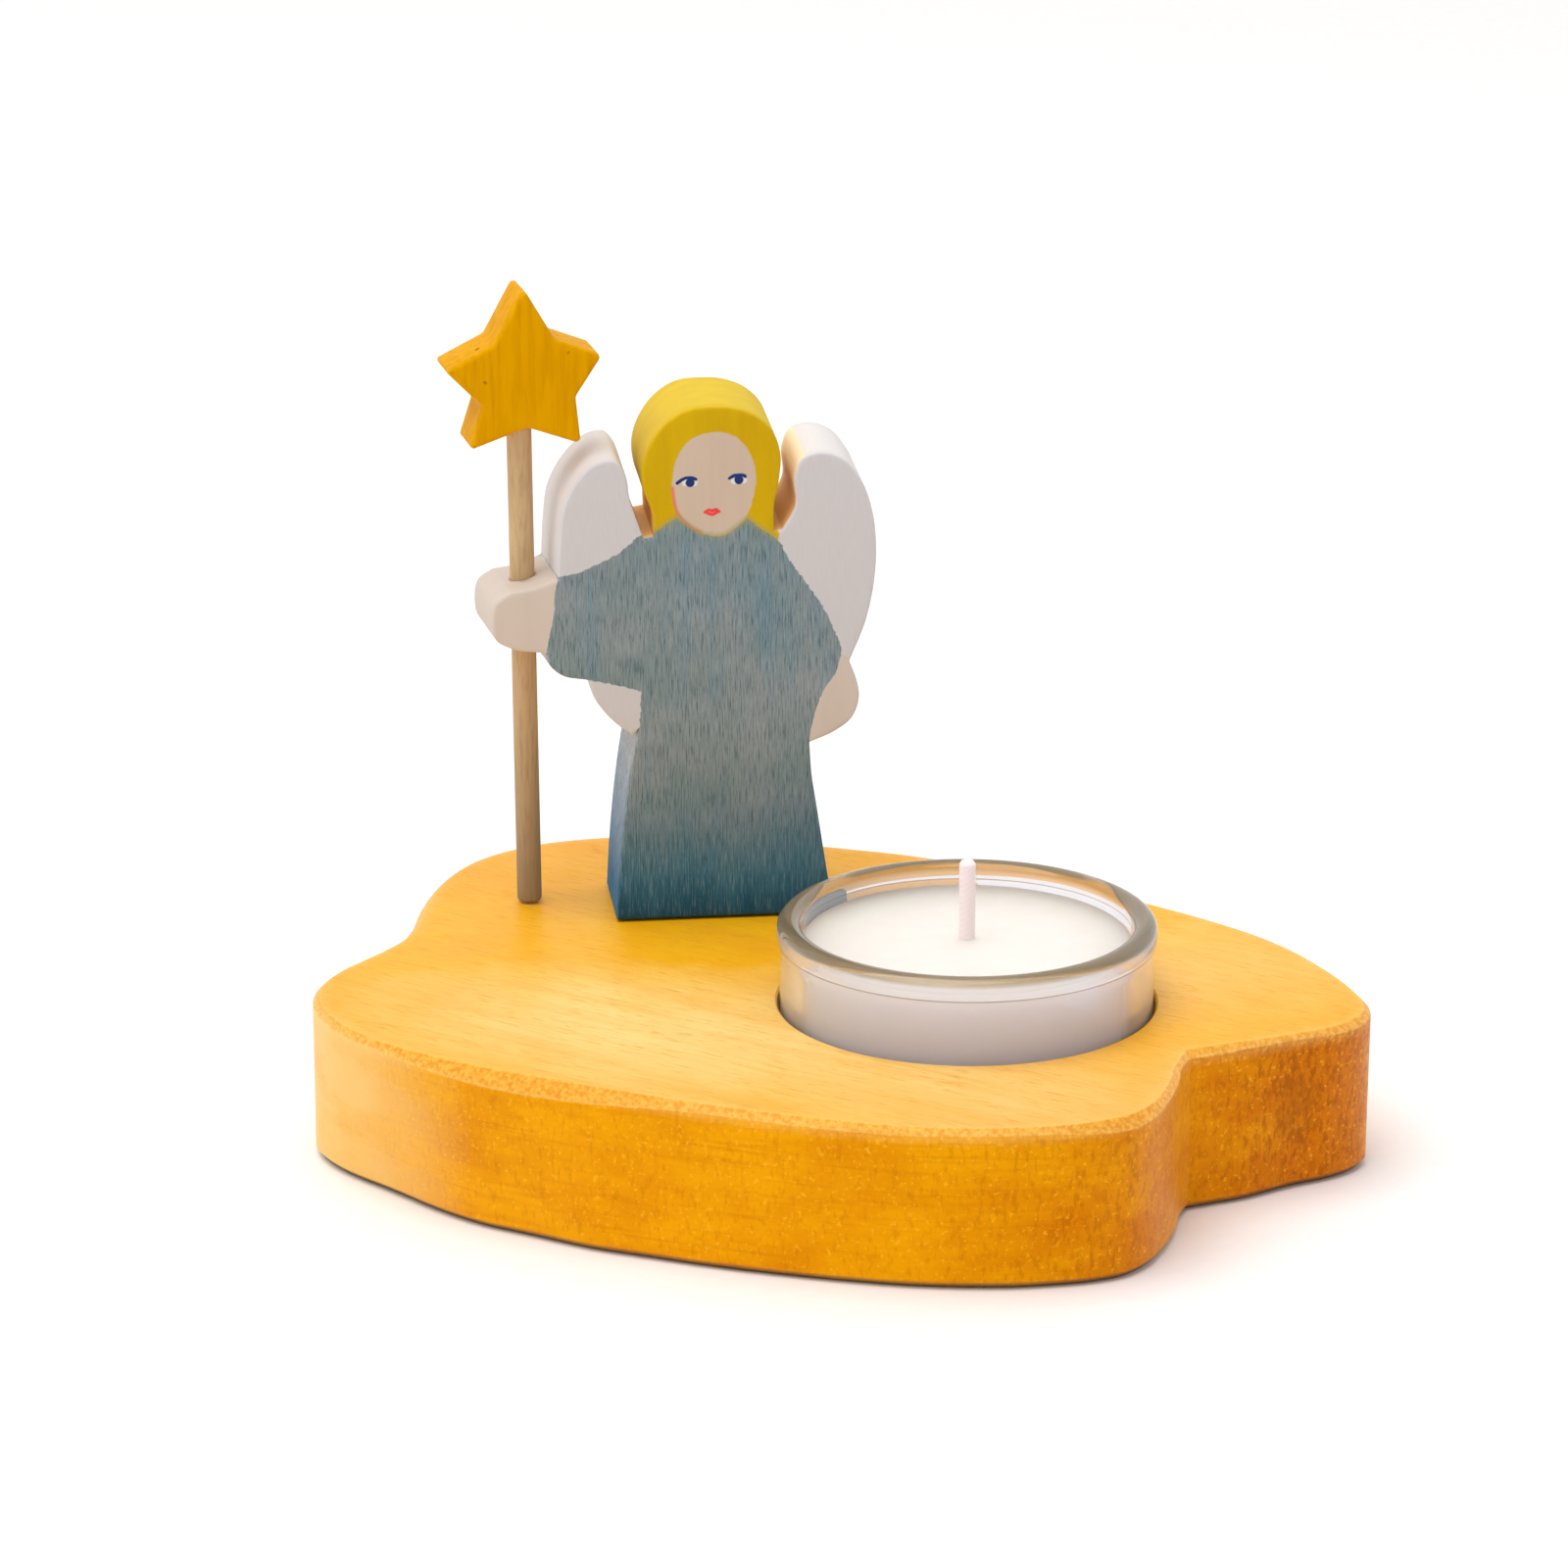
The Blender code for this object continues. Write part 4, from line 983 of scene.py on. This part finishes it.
def sawn_sheet(name, outline, thickness, edge, step, place, drift=0, fine=None, fine_step=None):
    """A sheet sawn along an outline in (x, z): front and back caps, rounded edges, and a straight wall.

    The edge is a quarter circle: its inset is the radius less the radius times the sine of the turn.
    The cut may stray on its way back, by a drift (x, z) for each point.
    """
    turn = np.radians(np.linspace(0, 90, 4))
    front = [(edge * (1 - math.sin(a)), edge * (1 - math.cos(a))) for a in turn]
    depths = np.linspace(edge, thickness - edge, max(4, round(thickness / (1.6 * MM))))[1:-1]
    levels = front + [(0.0, d) for d in depths] + [(i, thickness - d) for i, d in front[::-1]]
    rings = []
    for distance, depth in levels:
        flat = inset(outline, distance) + drift * depth / thickness
        rings.append(np.stack([flat[:, 0], np.full(len(flat), depth), flat[:, 1]], 1))
    parts = [band(rings)]
    for ring, close in ((rings[0], fine), (rings[-1], None)):
        flat, faces = cap(ring[:, [0, 2]], step, fine=close, fine_step=fine_step)
        parts.append((np.stack([flat[:, 0], np.full(len(flat), ring[0, 1]), flat[:, 1]], 1), faces))
    return make_piece(name, [(place(points), faces) for points, faces in parts])


def saw_drift(across):
    """How far the saw strayed at each place across the figure, in millimetres: a ramp to the left hand."""
    return np.outer(np.clip((DRIFT_STARTS - across) / DRIFT_BLEND, 0, 1), SAW_DRIFT)


class HOLDER_OT_figure(bpy.types.Operator):
    """Build the sawn angel and store the lines along which it is painted"""

    bl_idname = "holder.figure"
    bl_label = "Figure"

    def execute(self, context):
        sizes = context.scene.holder_sizes
        size = FIGURE_HIGH - FIGURE_LOW
        drawn = drawn_outline(FIGURE_RUNS, FIGURE_STEP)
        outline = fit(drawn, drawn, FIGURE_WIDTH, size.z)
        around_face = np.array(FACE_ZONE)
        middle = around_face.mean(axis=0)
        fine_zone = fit(middle + (around_face - middle) * FACE_MARGIN, drawn, FIGURE_WIDTH, size.z)
        origin = np.array(figure_origin())
        figure = sawn_sheet(
            "angel", outline, size.y, sizes.figure_edge, FIGURE_STEP, lambda points: points + origin,
            saw_drift(drawn[:, 0]) * MM, fine_zone, FACE_STEP)
        foot, axis, _ = staff_line()
        drill(figure, foot, axis, size.z, STAFF_RADIUS + HOLE_CLEARANCE)

        places = (positions(figure) - origin) / MM
        depth = places[:, 1]
        flat = places[:, [0, 2]]
        flat -= saw_drift(flat[:, 0]) * (depth * MM / size.y)[:, None]
        in_front = depth < sizes.figure_edge / MM + 0.05
        on_side = (depth > 0.2) & (depth < size.y / MM - 0.2)
        face = signed_distance(flat, smooth_run(FACE_ZONE + FACE_ZONE[:1], 0.5))
        store(figure, "robe", signed_distance(flat, np.array(ROBE_ZONE)))
        store(figure, "side", np.clip(np.minimum(depth, size.y / MM - depth) / 0.6, 0, 1))
        store(figure, "blue", bumps_at(flat, BLUE_WASH) / MM)
        store(figure, "hair", signed_distance(flat, np.array(HAIR_ZONE)))
        store(figure, "face", np.where(in_front, face, FAR_OUTSIDE))
        hands = [signed_distance(flat, np.array(zone)) for zone in (LEFT_HAND_ZONE, RIGHT_HAND_ZONE)]
        store(figure, "hands", np.maximum(*hands))
        bare = np.maximum(*[
            np.minimum(signed_distance(flat, np.array(zone)), top - flat[:, 1]) for zone, top in KERFS])
        store(figure, "bare", np.where(on_side, bare, FAR_OUTSIDE))
        strokes = {
            "lids": LID_HALF - np.minimum(*[line_distance(flat, smooth_run(line, 0.2)) for line in LIDS]),
            "iris": IRIS_RADIUS - np.min([np.linalg.norm(flat - spot, axis=1) for spot in IRISES], axis=0),
            "whites": WHITE_RADIUS - np.min([np.linalg.norm(flat - spot, axis=1) for spot in WHITES], axis=0),
            "lips": LIP_HALF - np.minimum(*[
                line_distance(flat, np.array(line)) for line in (UPPER_LIP, LOWER_LIP)]),
            "blush": BLUSH_HALF - line_distance(flat, smooth_run(BLUSH, 0.3)),
            "neck": NECK_HALF - line_distance(flat, np.array(NECKLINE)),
        }
        for name, values in strokes.items():
            store(figure, name, np.where(in_front, values, FAR_OUTSIDE))
        finish(figure, painted_figure(context.scene.holder_colours))
        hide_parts("angel_figure")
        return {"FINISHED"}


class HOLDER_OT_staff(bpy.types.Operator):
    """Build the dowel that carries the star"""

    bl_idname = "holder.staff"
    bl_label = "Staff"

    def execute(self, context):
        foot, axis, reach = staff_line()
        end = 0.4 * MM
        profile = [(0, 0)] + arc(STAFF_RADIUS - end, end, end, -90, 0)
        profile += [(STAFF_RADIUS, level) for level in np.linspace(end, reach - end, LENGTH_RINGS)[1:-1]]
        profile += arc(STAFF_RADIUS - end, reach - end, end, 0, 90) + [(0, reach)]
        staff = make_piece("dowel", [leaning(turned(profile, SMALL_SIDES, (0, 0, 0)), foot, axis)])
        finish(staff, plain_beech(context.scene.holder_colours))
        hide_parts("staff")
        return {"FINISHED"}


class HOLDER_OT_star(bpy.types.Operator):
    """Build the sawn star with the hole for the dowel"""

    bl_idname = "holder.star"
    bl_label = "Star"

    def execute(self, context):
        drawn = rounded_corners(STAR_CORNERS, STAR_STEP / MM)
        foot, axis, reach = staff_line()
        level = STAR_LOW.z
        centre = np.array(foot + axis * ((level - foot.z) / axis.z))
        cos, sin = math.cos(STAR_TURN), math.sin(STAR_TURN)
        half = STAR_THICKNESS / 2
        wide = (STAR_HIGH.x - STAR_LOW.x - STAR_THICKNESS * sin) / cos
        outline = fit(drawn, drawn, wide, STAR_HIGH.z - STAR_LOW.z)
        outline[:, 1] -= outline[:, 1].min()

        def place(points):
            """Centre the sheet on the staff, turn it a little and lift it to its height."""
            x, y, z = points[:, 0], points[:, 1] - half, points[:, 2]
            return np.stack([x * cos - y * sin, x * sin + y * cos, z], 1) + centre

        star = sawn_sheet(
            "sawn_star", outline, STAR_THICKNESS, context.scene.holder_sizes.star_edge, STAR_STEP, place)
        drill(star, foot, axis, reach + HOLE_CLEARANCE, STAFF_RADIUS + HOLE_CLEARANCE)
        finish(star, painted_star(context.scene.holder_colours))
        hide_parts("star")
        return {"FINISHED"}


class HOLDER_OT_glass(bpy.types.Operator):
    """Build the pressed glass cup"""

    bl_idname = "holder.glass"
    bl_label = "Glass"

    def execute(self, context):
        outer = (GLASS_HIGH.x - GLASS_LOW.x) / 2 - GLASS_BEAD
        top = GLASS_HIGH.z - GLASS_LOW.z
        inside = outer - GLASS_WALL
        bead = top - BEAD_BELOW_RIM
        half_wall = GLASS_WALL / 2 + GLASS_BEAD / 2
        rim_middle = outer + GLASS_BEAD - half_wall
        foot = GLASS_FOOT_ROUND

        # Up the outside: the rounded foot, the wall, the bead's slope with the mould's seam on it, then over
        # the rim and down the inside
        profile = [(0, 0), (outer / 2, 0)]
        profile += arc(outer - foot, foot, foot, -90, 0)
        profile += [(outer, bead - BEAD_RISE - 0.3 * MM), (outer + 0.03 * MM, bead - BEAD_RISE)]
        profile += [
            (outer + GLASS_BEAD * 0.72, top - MOULD_SEAM + rise) for rise in (-0.12 * MM, 0.0, 0.12 * MM)
        ]
        profile += [(outer + GLASS_BEAD * 0.9, bead - 0.5 * MM), (outer + GLASS_BEAD, bead - 0.2 * MM)]
        profile += [(outer + GLASS_BEAD * 0.95, bead)]
        profile += [
            (rim_middle + half_wall * math.cos(a), top - RIM_ROUND + RIM_ROUND * math.sin(a))
            for a in np.linspace(math.pi * 0.06, math.pi, 22)
        ]
        profile += arc(inside - foot, GLASS_FLOOR + foot, foot, 0, -90)
        profile += [(inside / 2, GLASS_FLOOR), (0, GLASS_FLOOR)]
        cup = turned(profile, ROUND_SIDES, (GLASS_AXIS.x, GLASS_AXIS.y, GLASS_LOW.z))
        glass = make_piece("glass_cup", [cup], 40)
        places = positions(glass) - np.array((GLASS_AXIS.x, GLASS_AXIS.y, GLASS_LOW.z))
        off_seam = np.abs(places[:, 2] - top + MOULD_SEAM) < 0.02 * MM
        # Where the painted reflections go: the rim's brownish tint and the dark line on the seam
        store(glass, "rim", np.clip((places[:, 2] - top + 1.1 * MM) / (0.5 * MM), 0, 1))
        store(glass, "seam", 0.85 * (off_seam & (np.linalg.norm(places[:, :2], axis=1) > outer)))
        finish(glass, pressed_glass(context.scene.holder_colours))
        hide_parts("tealight_glass")
        return {"FINISHED"}


class HOLDER_OT_candle(bpy.types.Operator):
    """Build the wax and the wick, and finish the tin foot"""

    bl_idname = "holder.candle"
    bl_label = "Candle"

    def execute(self, context):
        sizes = context.scene.holder_sizes
        colours = context.scene.holder_colours
        radius = (WAX_HIGH.x - WAX_LOW.x) / 2
        depth = WAX_HIGH.z - WAX_LOW.z
        wick_radius = (WICK_HIGH.x - WICK_LOW.x) / 2
        edge = 1.8 * MM
        meniscus_reach = 0.9 * MM
        mound_reach = 1.6 * MM

        # The wax's top: level, with a climb that falls off by powers of e away from the glass and the wick
        out = np.linspace(radius, 0, LENGTH_RINGS)
        flat = depth - max(sizes.meniscus, sizes.wax_mound)
        surface = flat + sizes.meniscus * np.exp(-(radius - out) / meniscus_reach)
        surface += sizes.wax_mound * np.exp(-(out - wick_radius) / mound_reach)
        surface = np.minimum(surface, depth)
        disc_radius, disc_height = WICK_DISC_ROOM
        collar_radius, collar_height = WICK_COLLAR_ROOM
        profile = [(0, collar_height), (collar_radius, collar_height), (collar_radius, disc_height)]
        profile += [(disc_radius, disc_height), (disc_radius, 0.0)] + arc(radius - edge, edge, edge, -90, 0)
        profile += [(radius, level) for level in np.linspace(edge, surface[0], 8)[1:-1]]
        profile += list(zip(out, surface))
        cylinder = turned(profile, ROUND_SIDES, (GLASS_AXIS.x, GLASS_AXIS.y, WAX_LOW.z))
        wax = make_piece("wax", [cylinder], 40)
        finish(wax, cast_wax(colours))
        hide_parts("candle_wax")

        rise = WICK_HIGH.z - WICK_LOW.z
        tip = wick_radius / 2
        profile = [(0, 0)] + [(wick_radius, level) for level in np.linspace(0, rise - tip, LENGTH_RINGS)]
        profile += [(wick_radius - tip / 2, rise - tip / 4), (wick_radius - tip, rise), (0, rise)]
        braid = turned(profile, SMALL_SIDES, (GLASS_AXIS.x, GLASS_AXIS.y, WICK_LOW.z))
        wick = make_piece("wick_braid", [braid])
        finish(wick, waxed_cotton(colours))
        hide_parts("wick")

        tin_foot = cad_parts["wick_sustainer"]
        tin_foot.data.materials.clear()
        tin_foot.data.materials.append(tinned_sheet())
        return {"FINISHED"}


class HOLDER_OT_stage(bpy.types.Operator):
    """Set up the paper floor, the soft studio light and the camera"""

    bl_idname = "holder.stage"
    bl_label = "Stage"

    def execute(self, context):
        scene = context.scene
        scene.view_settings.view_transform = "Standard"
        level = BOARD_LOW.z - 0.1 * MM
        corners = [(x * PAPER_HALF, y * PAPER_HALF, level) for x, y in ((-1, -1), (1, -1), (1, 1), (-1, 1))]
        mesh = bpy.data.meshes.new("paper")
        mesh.from_pydata(corners, [], [(0, 1, 2, 3)])
        floor = bpy.data.objects.new("paper", mesh)
        scene.collection.objects.link(floor)
        mesh.materials.append(paper_sweep())

        world = bpy.data.worlds.new("studio")
        world.use_nodes = True
        scene.world = world
        tree = world.node_tree
        facing = add(tree, "ShaderNodeTexCoord", output="Generated")
        back = add(tree, "ShaderNodeSeparateXYZ", {"Vector": facing}, output="Y")
        share = add(tree, "ShaderNodeMapRange", {"Value": back, 1: -0.7, 2: 0.6})
        sky = add(tree, "ShaderNodeMix", {
            0: share, 6: (SKY_FRONT,) * 3 + (1,), 7: (SKY_BACK,) * 3 + (1,)})
        tree.links.new(sky, tree.nodes["Background"].inputs["Color"])

        for name, place, size, power in LAMPS:
            light = bpy.data.lights.new(name, "AREA")
            light.size = size
            light.energy = power
            lamp = bpy.data.objects.new(name, light)
            lamp.location = Vector(place) + GLASS_AXIS
            lamp.rotation_euler = (-Vector(place)).to_track_quat("-Z", "Y").to_euler()
            scene.collection.objects.link(lamp)

        camera = bpy.data.objects.new("camera", bpy.data.cameras.new("camera"))
        camera.data.lens = CAMERA_LENS
        camera.data.sensor_width = 36.0
        camera.data.clip_end = FAR_CLIP
        camera.location = Vector((GLASS_AXIS.x, GLASS_AXIS.y, BOARD_LOW.z)) + Vector(CAMERA_OFFSET)
        looking = Vector((
            math.sin(CAMERA_TURN) * math.cos(CAMERA_TILT), math.cos(CAMERA_TURN) * math.cos(CAMERA_TILT),
            -math.sin(CAMERA_TILT)))
        camera.rotation_euler = looking.to_track_quat("-Z", "Y").to_euler()
        scene.collection.objects.link(camera)
        scene.camera = camera
        return {"FINISHED"}


class HOLDER_PT_panel(bpy.types.Panel):
    """Lists the sizes, the colours and the pieces"""

    bl_label = "Angel candle holder"
    bl_space_type = "VIEW_3D"
    bl_region_type = "UI"
    bl_category = "Holder"

    def draw(self, context):
        for group in (context.scene.holder_sizes, context.scene.holder_colours):
            for name in group.__annotations__:
                self.layout.prop(group, name)
        for operator in OPERATORS:
            self.layout.operator(operator.bl_idname)


OPERATORS = (
    HOLDER_OT_board, HOLDER_OT_figure, HOLDER_OT_staff, HOLDER_OT_star, HOLDER_OT_glass, HOLDER_OT_candle,
    HOLDER_OT_stage,
)
CLASSES = (HolderSizes, HolderColours, *OPERATORS, HOLDER_PT_panel)


def register():
    """Register the classes and hang the settings on the scene."""
    for cls in CLASSES:
        bpy.utils.register_class(cls)
    bpy.types.Scene.holder_sizes = PointerProperty(type=HolderSizes)
    bpy.types.Scene.holder_colours = PointerProperty(type=HolderColours)


def unregister():
    """Take the settings off the scene and unregister the classes."""
    del bpy.types.Scene.holder_sizes
    del bpy.types.Scene.holder_colours
    for cls in reversed(CLASSES):
        bpy.utils.unregister_class(cls)


def main():
    """Build every piece in order."""
    register()
    bpy.ops.holder.board()
    bpy.ops.holder.figure()
    bpy.ops.holder.staff()
    bpy.ops.holder.star()
    bpy.ops.holder.glass()
    bpy.ops.holder.candle()
    bpy.ops.holder.stage()


if __name__ == "__main__":
    main()
